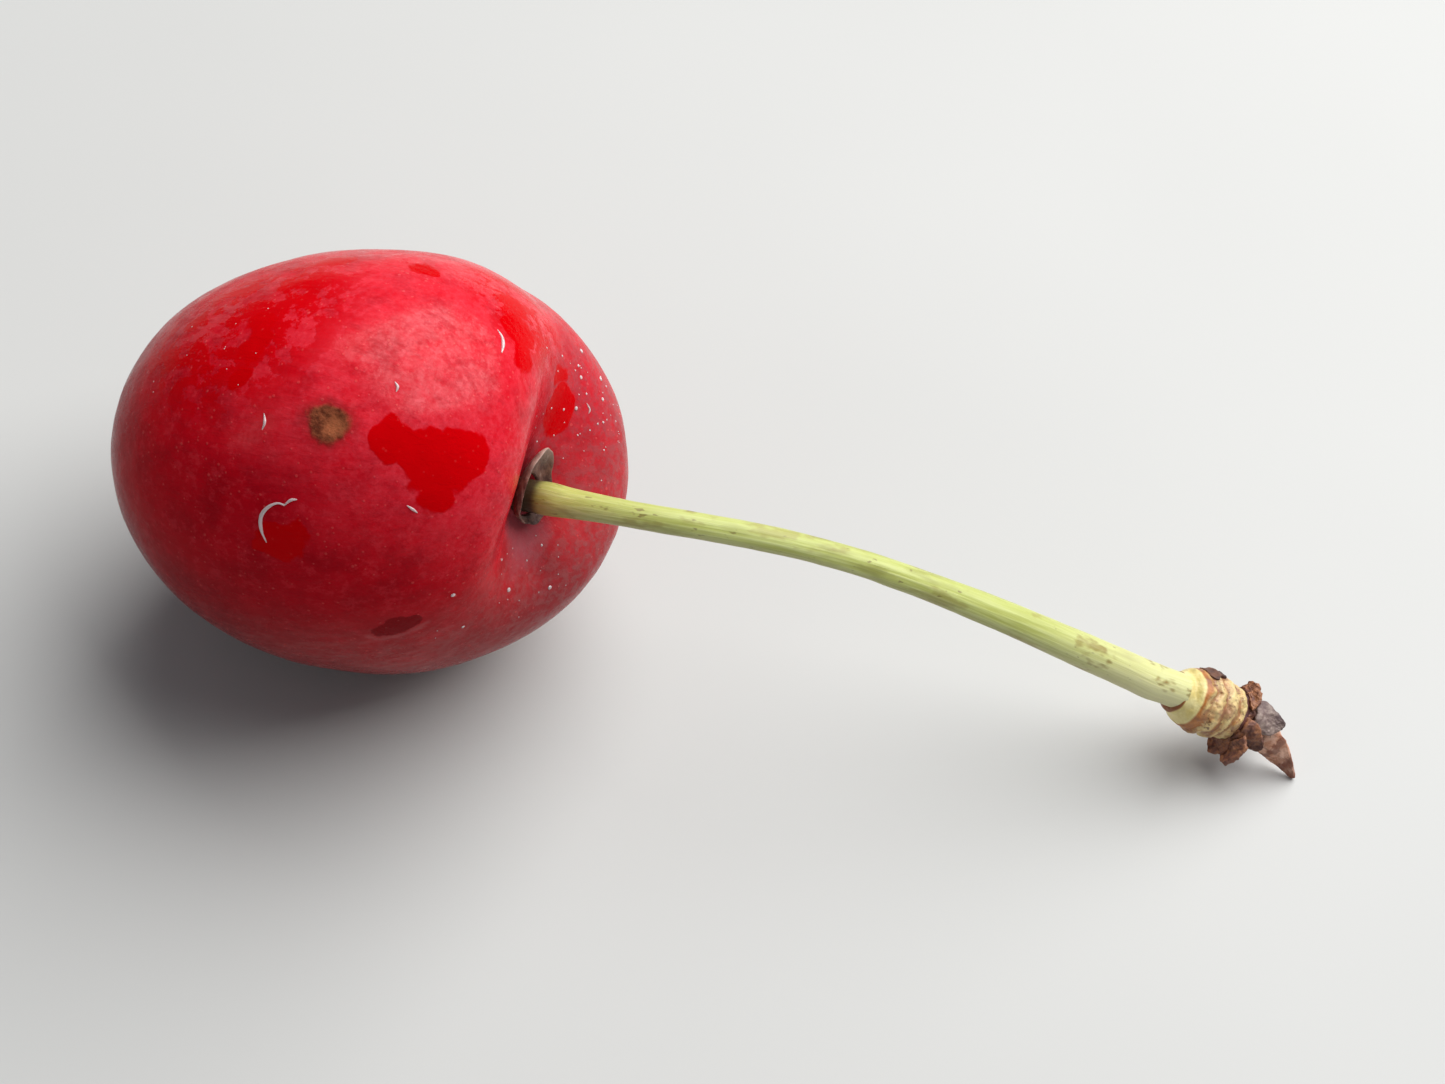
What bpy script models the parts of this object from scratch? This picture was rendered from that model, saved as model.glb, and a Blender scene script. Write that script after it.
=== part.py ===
"""A sweet cherry on its stalk, picked and lying on a flat surface.

Metres, +Z up. The origin is the middle of the small flat on which the fruit rests, and +X runs
the way the stalk points. The stem axis comes out of the fruit slanting up, and the stalk arches
from there to the surface, where the bud scales at its end stand. Run it with
blender --background --python part.py, or from Blender's text editor.
"""

import math

import bmesh
import bpy
from mathutils import Matrix, Vector

MM = 0.001

# The fruit, in its own frame: +Z out of the stem end, X cheek to cheek, +Y to the suture.
FRUIT_WIDTH = 29.4 * MM  # cheek to cheek
FRUIT_THICKNESS = 23.3 * MM  # across the suture, the flat way
UPPER_HEIGHT = 12.6 * MM  # widest girth to the stem end, before the cavity is sunk
LOWER_HEIGHT = 14.9 * MM  # widest girth to the style end
GIRTH_POWER = 2.0  # 2 is an ellipse, and more is boxier
SHOULDER_POWER = 2.0
STYLE_END_POWER = 2.15
CAVITY_DEPTH = 4.6 * MM  # below the undimpled stem end
CAVITY_REACH_X = 4.3 * MM  # narrow between the two shoulders
CAVITY_REACH_Y = 6.6 * MM  # running out as a valley to the suture
STYLE_DIMPLE_DEPTH = 0.5 * MM
STYLE_DIMPLE_REACH = 1.7 * MM
SUTURE_DEPTH = 0.22 * MM
SUTURE_REACH = 1.8 * MM
CHEEK_BULGE = 0.02  # how much fuller the -X cheek is than the +X one, as a share
SUTURE_LEAN = 0.13  # how far the shoulders lean to the suture, per length along the axis
FRUIT_RINGS = 36
FRUIT_SEGMENTS = 56

# How the fruit lies.
STEM_AZIMUTH = math.radians(-31.0)
STEM_RISE = math.radians(20.3)
STEM_ROLL = math.radians(31.5)  # the fruit's turn about its stem axis
REST_SINK = 0.45 * MM  # how far the soft skin flattens where it rests
SAG_HEIGHT = 7.0 * MM  # the height of the underside that sags under the fruit's weight

# Space between pieces that sit on each other, and between the thin scales.
SEAT_GAP = 0.3 * MM
SCALE_GAP = 0.2 * MM

# The dried flower cup, a thin saucer in the cavity round the stalk's foot.
CUP_RADIUS = 1.6 * MM
CUP_LOBE = 1.05 * MM  # how much further the torn side reaches
CUP_THICKNESS = 0.3 * MM
CUP_CLEARANCE = 0.2 * MM  # round the stalk
CUP_RIM_LIFT = 0.3 * MM
CUP_LOBE_LIFT = 0.25 * MM
CUP_LOBE_ANGLE = math.radians(100.0)
CUP_SEGMENTS = 36
CUP_RINGS = 4

# The stalk.
FOOT_RADIUS = 0.95 * MM
STALK_RADIUS = 0.73 * MM
STALK_END_RADIUS = 1.08 * MM
FOOT_TAPER = 6.0 * MM  # the length over which the foot narrows
END_TAPER = 24.0 * MM  # the length over which it thickens again
STALK_REACH = 44.1 * MM  # along X, from the fruit's middle to the spur stub
STALK_DRIFT = -10.3 * MM  # along Y, over the same stretch
FOOT_RUN = 11.0 * MM  # how far the stem axis carries the stalk before it bends
END_RUN = 28.0 * MM  # how far its end direction does the same
STALK_END_AZIMUTH = math.radians(-7.5)
STALK_WOBBLE = 0.15 * MM
STALK_POINTS = 40
STALK_SIDES = 14

# The spur stub, the knobbly piece of twig that came away with the stalk.
STUB_AZIMUTH = math.radians(-2.0)
STUB_DROP = math.radians(30.0)  # below level
GROOVE_RADIUS = 1.08 * MM
GROOVE_LENGTH = 0.4 * MM
COLLAR_RADIUS = 1.28 * MM
COLLAR_LENGTH = 0.75 * MM
CRACK_RADIUS = 1.62 * MM
KNOB_RADIUS = 1.88 * MM
KNOB_LENGTH = 3.9 * MM
MOUTH_RADIUS = 1.5 * MM
CORE_RADIUS = 0.72 * MM
CORE_LENGTH = 1.5 * MM
STUB_BEVEL = 0.14 * MM
KNOB_STEPS = 7
STUB_SIDES = 28

# The bud scales, thin dry blades rooted in two rings round the stub's core.
SCALE_THICKNESS = 0.25 * MM
SCALE_TIP_WIDTH = 0.12 * MM
SCALE_STEPS_ACROSS = 8
SCALE_STEPS_ALONG = 10
INNER_RING = CORE_RADIUS + SCALE_GAP
OUTER_RING = INNER_RING + SCALE_THICKNESS + SCALE_GAP
STUB_LENGTH = GROOVE_LENGTH + COLLAR_LENGTH + KNOB_LENGTH

SKIN_RED = (0.42, 0.004, 0.012, 1.0)
CUP_BROWN = (0.09, 0.06, 0.035, 1.0)
STALK_GREEN = (0.46, 0.52, 0.12, 1.0)
STUB_TAN = (0.62, 0.42, 0.16, 1.0)
SCALE_BROWN = (0.13, 0.055, 0.045, 1.0)


# Helpers


def clear_scene():
    for obj in list(bpy.data.objects):
        bpy.data.objects.remove(obj, do_unlink=True)


def finish(name, colour, roughness):
    """A plain Principled material."""
    material = bpy.data.materials.new(name)
    material.use_nodes = True
    shader = material.node_tree.nodes["Principled BSDF"]
    shader.inputs["Base Color"].default_value = colour
    shader.inputs["Roughness"].default_value = roughness
    shader.inputs["Metallic"].default_value = 0.0
    return material


def add_object(name, data, material):
    """Links a new object with that mesh or curve and material."""
    obj = bpy.data.objects.new(name, data)
    bpy.context.scene.collection.objects.link(obj)
    data.materials.append(material)
    return obj


def mesh_from(name, bm):
    """A smooth-shaded mesh of the bmesh, with its faces pointing out."""
    bmesh.ops.recalc_face_normals(bm, faces=bm.faces)
    mesh = bpy.data.meshes.new(name)
    bm.to_mesh(mesh)
    bm.free()
    mesh.shade_smooth()
    mesh.set_sharp_from_angle(angle=math.radians(45))
    return mesh


def bell(value, reach):
    """1 at 0, falling smoothly to nothing a few reaches away."""
    return math.exp(-((value / reach) ** 2))


def ease(share):
    """0 to 1 with level ends."""
    share = min(1.0, max(0.0, share))
    return share * share * (3 - 2 * share)


def close_rings(bm, rings):
    """Joins each ring of vertices to the next, all the way round."""
    for lower, upper in zip(rings, rings[1:]):
        count = len(lower)
        for i in range(count):
            j = (i + 1) % count
            bm.faces.new((lower[i], lower[j], upper[j], upper[i]))


# The fruit


def skin_point(tilt, turn):
    """The point of the skin seen from the fruit's middle at that tilt from +Z and turn from +X."""
    across = math.sin(tilt)
    up = math.cos(tilt)
    half_width = FRUIT_WIDTH / 2
    half_thickness = FRUIT_THICKNESS / 2
    girth = (
        abs(math.cos(turn) / half_width) ** GIRTH_POWER
        + abs(math.sin(turn) / half_thickness) ** GIRTH_POWER
    ) ** (-1 / GIRTH_POWER)
    height, power = (UPPER_HEIGHT, SHOULDER_POWER) if up > 0 else (LOWER_HEIGHT, STYLE_END_POWER)
    reach = (abs(across / girth) ** power + abs(up / height) ** power) ** (-1 / power)
    x = reach * across * math.cos(turn)
    y = reach * across * math.sin(turn)
    z = reach * up
    x *= 1 - CHEEK_BULGE * x / half_width
    if up > 0:
        z -= CAVITY_DEPTH * bell(x, CAVITY_REACH_X) * bell(y, CAVITY_REACH_Y)
    else:
        z += STYLE_DIMPLE_DEPTH * bell(math.hypot(x, y), STYLE_DIMPLE_REACH)
    suture = SUTURE_DEPTH * bell(x, SUTURE_REACH) * across**2 * ease(math.sin(turn))
    return Vector((x, y - suture + SUTURE_LEAN * z * across, z))


def lying_turn():
    """The fruit's turn: the roll about its stem axis, then the axis laid over and swung round."""
    return (
        Matrix.Rotation(STEM_AZIMUTH, 4, "Z")
        @ Matrix.Rotation(math.pi / 2 - STEM_RISE, 4, "Y")
        @ Matrix.Rotation(STEM_ROLL, 4, "Z")
    )


def mass_centre(bm):
    """The middle of the closed mesh's volume, from the tetrahedra between its faces and the origin."""
    volume, moment = 0.0, Vector()
    for face in bm.faces:
        first, *rest = [vert.co for vert in face.verts]
        for second, third in zip(rest, rest[1:]):
            part = first.dot(second.cross(third)) / 6
            volume += part
            moment += (first + second + third) * (part / 4)
    return moment / volume


def sag(bm, turn):
    """Move the underside until its lowest point is under the mass centre, as in a fruit that lies still."""
    lowest = min((turn @ vert.co for vert in bm.verts), key=lambda place: place.z)
    aside = turn @ mass_centre(bm) - lowest
    aside.z = 0.0
    for vert in bm.verts:
        height = (turn @ vert.co).z - lowest.z
        if height < SAG_HEIGHT:
            vert.co += turn.inverted() @ aside * (1 - height / SAG_HEIGHT) ** 2


def make_fruit(skin):
    """The fruit as one solid with the flat that it rests on, put down with that flat on the origin."""
    bm = bmesh.new()
    top = bm.verts.new(skin_point(0.0, 0.0))
    bottom = bm.verts.new(skin_point(math.pi, 0.0))
    rings = []
    for i in range(1, FRUIT_RINGS):
        tilt = math.pi * i / FRUIT_RINGS
        turns = [math.tau * j / FRUIT_SEGMENTS for j in range(FRUIT_SEGMENTS)]
        rings.append([bm.verts.new(skin_point(tilt, turn)) for turn in turns])
    close_rings(bm, rings)
    for pole, ring in ((top, rings[0]), (bottom, rings[-1])):
        for j in range(FRUIT_SEGMENTS):
            bm.faces.new((pole, ring[j], ring[(j + 1) % FRUIT_SEGMENTS]))

    turn = lying_turn()
    sag(bm, turn)
    down = turn.inverted() @ Vector((0, 0, -1))
    lowest = max(vert.co.dot(down) for vert in bm.verts)
    everything = bm.verts[:] + bm.edges[:] + bm.faces[:]
    cut = bmesh.ops.bisect_plane(
        bm,
        geom=everything,
        plane_co=down * (lowest - REST_SINK),
        plane_no=down,
        dist=0.001 * MM,
        clear_outer=True,
    )
    edges = [piece for piece in cut["geom_cut"] if isinstance(piece, bmesh.types.BMEdge)]
    flat = bmesh.ops.contextual_create(bm, geom=edges)["faces"][0]
    rest_point = turn @ flat.calc_center_median()

    fruit = add_object("fruit", mesh_from("fruit", bm), skin)
    fruit.matrix_world = Matrix.Translation(-rest_point) @ turn
    return fruit


# The flower cup


def skin_at(radius, turn):
    """The point of the cavity's skin at that distance from the stalk's foot."""
    foot = skin_point(0.0, 0.0)
    low, high = 0.0, math.pi / 4
    for _ in range(40):
        middle = (low + high) / 2
        if (skin_point(middle, turn) - foot).xy.length < radius:
            low = middle
        else:
            high = middle
    return skin_point(low, turn)


def make_flower_cup(fruit, dry):
    """The saucer follows the cavity's skin and lifts off it towards its torn rim."""
    hole = FOOT_RADIUS + CUP_CLEARANCE
    under, over = [], []
    bm = bmesh.new()
    for i in range(CUP_RINGS + 1):
        share = i / CUP_RINGS
        low_ring, high_ring = [], []
        for j in range(CUP_SEGMENTS):
            turn = math.tau * j / CUP_SEGMENTS
            lobe = max(0.0, math.cos(turn - CUP_LOBE_ANGLE)) ** 3
            ragged = 1 + 0.05 * math.sin(5 * turn) + 0.03 * math.sin(11 * turn)
            rim = (CUP_RADIUS + CUP_LOBE * lobe) * ragged
            seat = skin_at(hole + (rim - hole) * share, turn)
            lift = (CUP_RIM_LIFT + CUP_LOBE_LIFT * lobe) * share**2
            base = seat + Vector((0, 0, SEAT_GAP + lift))
            low_ring.append(bm.verts.new(base))
            high_ring.append(bm.verts.new(base + Vector((0, 0, CUP_THICKNESS))))
        under.append(low_ring)
        over.append(high_ring)
    close_rings(bm, under + over[::-1] + under[:1])
    cup = add_object("flower_cup", mesh_from("flower_cup", bm), dry)
    cup.matrix_world = fruit.matrix_world
    return cup


# The stub and its scales, in the stub's own frame: +Z away from the stalk, +X on the underside


def knob_outline():
    """The knob's side, swelling from the crack and drawing in to the mouth."""
    start = GROOVE_LENGTH + COLLAR_LENGTH
    for i in range(KNOB_STEPS):
        share = i / (KNOB_STEPS - 1)
        chord = CRACK_RADIUS + (MOUTH_RADIUS - CRACK_RADIUS) * share
        swell = (KNOB_RADIUS - chord) * math.sin(math.pi * share**0.8)
        yield chord + swell, start + (KNOB_LENGTH - STUB_BEVEL) * share


def make_stub(woody):
    """A turned knob: the groove where the stalk lets go, a pale collar, and the knob with its core."""
    crack = GROOVE_LENGTH + COLLAR_LENGTH
    tip = STUB_LENGTH + CORE_LENGTH
    outline = [
        (0.0, SEAT_GAP),
        (GROOVE_RADIUS, SEAT_GAP),
        (COLLAR_RADIUS, GROOVE_LENGTH + STUB_BEVEL),
        (COLLAR_RADIUS, crack - STUB_BEVEL),
        *knob_outline(),
        (MOUTH_RADIUS - STUB_BEVEL, STUB_LENGTH),
        (CORE_RADIUS, STUB_LENGTH),
        (CORE_RADIUS, tip - STUB_BEVEL),
        (CORE_RADIUS - STUB_BEVEL, tip),
        (0.0, tip),
    ]
    bm = bmesh.new()
    points = [bm.verts.new((radius, 0, height)) for radius, height in outline]
    edges = [bm.edges.new(pair) for pair in zip(points, points[1:])]
    bmesh.ops.spin(
        bm,
        geom=points + edges,
        axis=(0, 0, 1),
        cent=(0, 0, 0),
        angle=math.tau,
        steps=STUB_SIDES,
    )
    bmesh.ops.remove_doubles(bm, verts=bm.verts, dist=0.01 * MM)
    return add_object("spur_stub", mesh_from("spur_stub", bm), woody)


def blade_point(scale, depth, along, across):
    """A point of a scale, depth into its thickness, along from root to tip, across from -1 to 1."""
    bend = scale["tip_lean"] - scale["root_lean"]
    lean = scale["root_lean"] + bend * along
    reach = scale["length"] / bend
    out = scale["ring"] + reach * (math.cos(scale["root_lean"]) - math.cos(lean))
    height = reach * (math.sin(lean) - math.sin(scale["root_lean"]))
    half_width = scale["half_width"] * (1 - along ** scale["bluntness"]) + SCALE_TIP_WIDTH * along
    angle = scale["angle"] + scale["swing"] * along + across * half_width / out
    out += depth * math.cos(lean)
    height -= depth * math.sin(lean)
    root_height = STUB_LENGTH + SEAT_GAP + SCALE_THICKNESS
    return Vector((out * math.cos(angle), out * math.sin(angle), root_height + height))


def make_scale(name, scale, dry):
    """A dry blade, curved round the core at its root and bending outward towards its tip."""
    bm = bmesh.new()
    verts = {}
    inner, outer = 0.0, SCALE_THICKNESS
    for depth in (inner, outer):
        for i in range(SCALE_STEPS_ALONG + 1):
            for j in range(SCALE_STEPS_ACROSS + 1):
                along = i / SCALE_STEPS_ALONG
                across = 2 * j / SCALE_STEPS_ACROSS - 1
                verts[depth, i, j] = bm.verts.new(blade_point(scale, depth, along, across))
    for i in range(SCALE_STEPS_ALONG):
        for j in range(SCALE_STEPS_ACROSS):
            corners = ((i, j), (i, j + 1), (i + 1, j + 1), (i + 1, j))
            bm.faces.new([verts[(outer, *corner)] for corner in corners])
            bm.faces.new([verts[(inner, *corner)] for corner in corners[::-1]])
    last_i, last_j = SCALE_STEPS_ALONG, SCALE_STEPS_ACROSS
    border = [(0, j) for j in range(last_j)]
    border += [(i, last_j) for i in range(last_i)]
    border += [(last_i, j) for j in range(last_j, 0, -1)]
    border += [(i, 0) for i in range(last_i, 0, -1)]
    for here, there in zip(border, border[1:] + border[:1]):
        edge = (verts[(inner, *here)], verts[(inner, *there)])
        bm.faces.new((*edge, verts[(outer, *there)], verts[(outer, *here)]))
    return add_object(name, mesh_from(name, bm), dry)


def make_scales(dry):
    """Four scales in the outer ring, and two in the inner one."""
    table = [
        # name, ring, angle, swing, half width, length, lean at root and tip, bluntness
        ("bud_scale_upright", OUTER_RING, 121, 0, 0.8, 1.1, 20, 100, 1.7),
        ("bud_scale_near", OUTER_RING, 210, 0, 1.1, 2.0, 8, 30, 2.0),
        ("bud_scale_lower", OUTER_RING, 305, 0, 0.95, 1.5, 50, 140, 4.0),
        ("bud_scale_under", OUTER_RING, 33, 0, 0.95, 1.8, 10, 60, 1.8),
        ("bud_scale_long", INNER_RING, 262, 25, 1.5, 5.1, 2, 32, 1.6),
        ("bud_scale_back", INNER_RING, 75, 0, 0.95, 3.0, 2, 16, 1.6),
    ]
    made = []
    for name, ring, angle, swing, half_width, length, root_lean, tip_lean, bluntness in table:
        scale = {
            "ring": ring,
            "angle": math.radians(angle),
            "swing": math.radians(swing),
            "half_width": half_width * MM,
            "length": length * MM,
            "root_lean": math.radians(root_lean),
            "tip_lean": math.radians(tip_lean),
            "bluntness": bluntness,
        }
        made.append(make_scale(name, scale, dry))
    return made


def end_turn(azimuth):
    """The turn of what points away from the fruit at that azimuth, dropping to the surface."""
    return Matrix.Rotation(azimuth, 4, "Z") @ Matrix.Rotation(math.pi / 2 + STUB_DROP, 4, "Y")


def place_stub(fruit, pieces):
    """Stands the stub and scales on the surface, and returns where the stalk meets them."""
    turn = end_turn(STUB_AZIMUTH)
    lowest = min((turn @ vert.co).z for piece in pieces for vert in piece.data.vertices)
    middle = fruit.matrix_world.translation
    joint = Vector((middle.x + STALK_REACH, middle.y + STALK_DRIFT, -lowest))
    for piece in pieces:
        piece.matrix_world = Matrix.Translation(joint) @ turn
    return joint


# The stalk


def stalk_line(fruit, joint):
    """Points from just over the cavity's floor to the stub: a cubic that leaves along the stem axis."""
    stem_axis = lying_turn() @ Vector((0, 0, 1))
    end_axis = end_turn(STALK_END_AZIMUTH) @ Vector((0, 0, 1))
    foot = skin_point(0.0, 0.0)
    foot.z = SEAT_GAP + max(skin_at(FOOT_RADIUS, math.radians(turn)).z for turn in range(0, 360, 15))
    start = fruit.matrix_world @ foot
    controls = (start, start + stem_axis * FOOT_RUN, joint - end_axis * END_RUN, joint)
    sideways = stem_axis.cross(Vector((0, 0, 1))).normalized()
    points = []
    for i in range(STALK_POINTS + 1):
        t = i / STALK_POINTS
        weights = ((1 - t) ** 3, 3 * t * (1 - t) ** 2, 3 * t * t * (1 - t), t**3)
        point = sum((control * weight for control, weight in zip(controls, weights)), Vector())
        wobble = STALK_WOBBLE * math.sin(math.tau * t) * math.sin(math.pi * t) ** 2
        points.append(point + sideways * wobble)
    return points


def stalk_radius(from_foot, to_stub):
    """Flared at the foot, slim after it, and thickening towards the stub."""
    foot = (FOOT_RADIUS - STALK_RADIUS) * (1 - ease(from_foot / FOOT_TAPER))
    end = (STALK_END_RADIUS - STALK_RADIUS) * (1 - ease(to_stub / END_TAPER))
    return STALK_RADIUS + foot + end


def make_stalk(fruit, joint, green):
    points = stalk_line(fruit, joint)
    runs = [0.0]
    for here, there in zip(points, points[1:]):
        runs.append(runs[-1] + (there - here).length)
    curve = bpy.data.curves.new("stalk", "CURVE")
    curve.dimensions = "3D"
    curve.bevel_depth = STALK_RADIUS
    curve.bevel_resolution = STALK_SIDES // 2 - 2
    curve.use_fill_caps = True
    spline = curve.splines.new("POLY")
    spline.points.add(len(points) - 1)
    for knot, point, run in zip(spline.points, points, runs):
        knot.co = (*point, 1)
        knot.radius = stalk_radius(run, runs[-1] - run) / STALK_RADIUS
    spline.use_smooth = True
    return add_object("stalk", curve, green)


def main():
    clear_scene()
    skin = finish("cherry_skin", SKIN_RED, 0.2)
    green = finish("green_stalk", STALK_GREEN, 0.55)
    woody = finish("woody_stub", STUB_TAN, 0.7)
    dry = finish("dry_scale", SCALE_BROWN, 0.75)
    fruit = make_fruit(skin)
    make_flower_cup(fruit, finish("dry_flower_cup", CUP_BROWN, 0.8))
    joint = place_stub(fruit, [make_stub(woody), *make_scales(dry)])
    make_stalk(fruit, joint, green)


main()
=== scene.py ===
# %% [markdown]
# # A sweet cherry on its stalk
#
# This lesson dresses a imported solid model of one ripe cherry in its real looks: thin wet skin over
# soft flesh, a dried flower cup, a green stalk, and the knobbly bit of twig that came off with it.
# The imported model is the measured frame. Everything made here sits where its solids are.

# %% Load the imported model
import functools
import math

import bmesh
import bpy
from mathutils import Matrix, Vector
from mathutils.bvhtree import BVHTree


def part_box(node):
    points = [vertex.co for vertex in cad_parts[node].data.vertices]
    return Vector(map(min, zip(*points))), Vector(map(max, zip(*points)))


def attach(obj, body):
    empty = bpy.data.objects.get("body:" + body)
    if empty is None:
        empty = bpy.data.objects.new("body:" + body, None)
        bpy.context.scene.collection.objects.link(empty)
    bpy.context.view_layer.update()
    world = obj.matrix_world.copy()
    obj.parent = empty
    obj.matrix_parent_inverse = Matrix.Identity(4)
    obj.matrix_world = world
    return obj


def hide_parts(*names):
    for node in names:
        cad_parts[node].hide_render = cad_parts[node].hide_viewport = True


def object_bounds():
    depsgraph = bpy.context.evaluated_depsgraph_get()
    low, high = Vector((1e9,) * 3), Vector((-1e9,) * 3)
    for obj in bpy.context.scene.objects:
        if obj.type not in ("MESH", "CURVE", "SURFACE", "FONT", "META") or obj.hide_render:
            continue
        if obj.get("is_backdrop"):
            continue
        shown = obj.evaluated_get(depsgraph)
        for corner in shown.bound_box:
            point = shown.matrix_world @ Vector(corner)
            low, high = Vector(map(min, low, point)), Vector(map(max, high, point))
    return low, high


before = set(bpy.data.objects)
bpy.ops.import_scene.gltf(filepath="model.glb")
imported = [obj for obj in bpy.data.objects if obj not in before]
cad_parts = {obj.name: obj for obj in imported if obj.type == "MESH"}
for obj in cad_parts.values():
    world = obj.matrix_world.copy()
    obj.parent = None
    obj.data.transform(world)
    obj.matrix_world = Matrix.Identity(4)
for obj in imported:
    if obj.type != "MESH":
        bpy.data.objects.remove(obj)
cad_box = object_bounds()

MM = 0.001


def in_mm(point, digits=1):
    """A place or a size in metres, as rounded millimetres."""
    return [round(part / MM, digits) for part in point]


print("solids:", ", ".join(sorted(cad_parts)))
print("box in mm:", [in_mm(corner) for corner in cad_box])

# %% [markdown]
# ## Camera
#
# The fruit is looked at from in front and well above, the way one looks into a basket. The camera
# stands where the eye would be, and is then turned by the smallest turn that brings the whole
# object, stalk included, to the middle of its view. A long lens keeps the true perspective.

# %% Camera
EYE_FROM_FRUIT = Vector((-7.5, -105.8, 147.9)) * MM
LOOK_DOWN = math.radians(49.3)  # how far below level the eye looks
LENS = 82.0  # mm
SENSOR_WIDTH = 36.0  # mm
NEAREST_SEEN = 0.01  # m
VIEW_SHIFT = 0.6 * MM  # towards the fruit, which is the heavy end of the view
VIEW_DEPTH = -4.2 * MM
VIEW_HEIGHT = 12.2 * MM


def placed(name, data):
    """A new object in the scene, with that data."""
    thing = bpy.data.objects.new(name, data)
    bpy.context.collection.objects.link(thing)
    return thing


fruit_low, fruit_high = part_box("fruit")
fruit_middle = (fruit_low + fruit_high) / 2
box_middle_x = (cad_box[0][0] + cad_box[1][0]) / 2
view_middle = Vector((box_middle_x - VIEW_SHIFT, VIEW_DEPTH, VIEW_HEIGHT))

lens = bpy.data.cameras.new("camera")
lens.lens = LENS
lens.sensor_width = SENSOR_WIDTH
lens.clip_start = NEAREST_SEEN
camera = placed("camera", lens)
camera.location = fruit_middle + EYE_FROM_FRUIT
level_turn = Matrix.Rotation(math.pi / 2 - LOOK_DOWN, 3, "X")
aim = (view_middle - camera.location).normalized()
swing = (level_turn @ Vector((0, 0, -1))).rotation_difference(aim)
camera.rotation_mode = "QUATERNION"
camera.rotation_quaternion = swing @ level_turn.to_quaternion()
bpy.context.scene.camera = camera
print("camera at", in_mm(camera.location), "mm")

# %% [markdown]
# ## Light
#
# Soft daylight from above shows a cherry's skin best: the dry parts spread it into a pink veil, and
# the wet parts stay deep and clear between them. One broad soft box overhead, one low fill and a
# grey sky give that light. A small hard lamp would only burn white spots into the wax.

# %% Light
OVERHEAD_POWER = 2.9  # watts
FILL_POWER = 0.05
SKY_COLOUR = (0.86, 0.91, 1.0, 1.0)
SKY_STRENGTH = 0.16


def soft_box(name, place, size, power):
    """A rectangular light of that size, at that place, in metres, turned to the fruit."""
    lamp = bpy.data.lights.new(name, "AREA")
    lamp.shape = "RECTANGLE"
    lamp.size, lamp.size_y = size
    lamp.energy = power
    holder = placed(name, lamp)
    holder.location = place
    holder.rotation_mode = "QUATERNION"
    holder.rotation_quaternion = (fruit_middle - place).to_track_quat("-Z", "Y")
    print(f"{name}: {size[0]} x {size[1]} m, {power} W")


soft_box("overhead_box", Vector((0.18, 0.12, 0.33)), (0.46, 0.48), OVERHEAD_POWER)
soft_box("side_fill", Vector((-0.30, -0.10, 0.20)), (0.08, 0.12), FILL_POWER)

world = bpy.data.worlds.new("grey_sky")
world.use_nodes = True
sky = world.node_tree.nodes["Background"]
sky.inputs["Color"].default_value = SKY_COLOUR
sky.inputs["Strength"].default_value = SKY_STRENGTH
bpy.context.scene.world = world
bpy.context.scene.view_settings.view_transform = "Standard"

# %% [markdown]
# ## Floor
#
# The cherry lies on a plain pale sheet. One large flat face is enough: it catches the soft shadow,
# and it throws some light back up under the fruit.

# %% Floor
FLOOR_SIZE = 3.0  # m


def mesh_from(name, shape):
    """A new mesh from a shape that was being edited, which is then freed."""
    mesh = bpy.data.meshes.new(name)
    shape.to_mesh(mesh)
    shape.free()
    return mesh


floor_shape = bmesh.new()
bmesh.ops.create_grid(floor_shape, x_segments=1, y_segments=1, size=FLOOR_SIZE / 2)
floor = placed("floor", mesh_from("floor", floor_shape))
floor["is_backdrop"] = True
print("floor:", FLOOR_SIZE, "m square")

# %% [markdown]
# ## Wiring nodes with plain expressions
#
# Both the finishes and the shapes below are node trees. Wiring them by hand hides the sums that
# they do, so a small class stands for a node's output and lets Python's own operators add the
# Math nodes. Every other node comes from one method that sets its choices first, then its sockets.

# %% A wire that can be calculated with
class Wire:
    """A node's output. Operators on it add Math nodes to the same tree."""

    def __init__(self, board, socket):
        self.board, self.socket = board, socket

    def math(self, operation, *values):
        return self.board.node("ShaderNodeMath", {"operation": operation}, dict(enumerate(values)))

    def __add__(self, other):
        return self.math("ADD", self, other)

    def __sub__(self, other):
        return self.math("SUBTRACT", self, other)

    def __rsub__(self, other):
        return self.math("SUBTRACT", other, self)

    def __mul__(self, other):
        return self.math("MULTIPLY", self, other)

    def __truediv__(self, other):
        return self.math("DIVIDE", self, other)

    def __pow__(self, other):
        return self.math("POWER", self, other)

    __radd__, __rmul__ = __add__, __mul__

    def other(self, out):
        """Another output of the same node."""
        return Wire(self.board, self.socket.node.outputs[out])

    def alone(self, operation):
        return self.math(operation, self)

    def at_least(self, other):
        return self.math("MAXIMUM", self, other)

    def at_most(self, other):
        return self.math("MINIMUM", self, other)

    def fade(self, start, end):
        """0 before start, 1 after end, and a smooth way between."""
        return self.board.node(
            "ShaderNodeMapRange",
            {"interpolation_type": "SMOOTHSTEP"},
            {"Value": self, "From Min": start, "From Max": end},
        )

    def bell(self, middle, width):
        """1 at the middle, falling to 0 on both sides."""
        return (((self - middle) / width) ** 2.0 * -1.0).alone("EXPONENT")


def skills(kind):
    """The names of what a class of helpers can do."""
    return ", ".join(name for name in vars(kind) if not name.startswith("_"))


print("a wire knows:", skills(Wire))

# %% [markdown]
# ## A board of nodes
#
# A board is one node tree. Finishes and shapes take the same maths, vector and noise nodes, so both
# are wired on the same kind of board, and what is learned on one can be used on the other.

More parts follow.
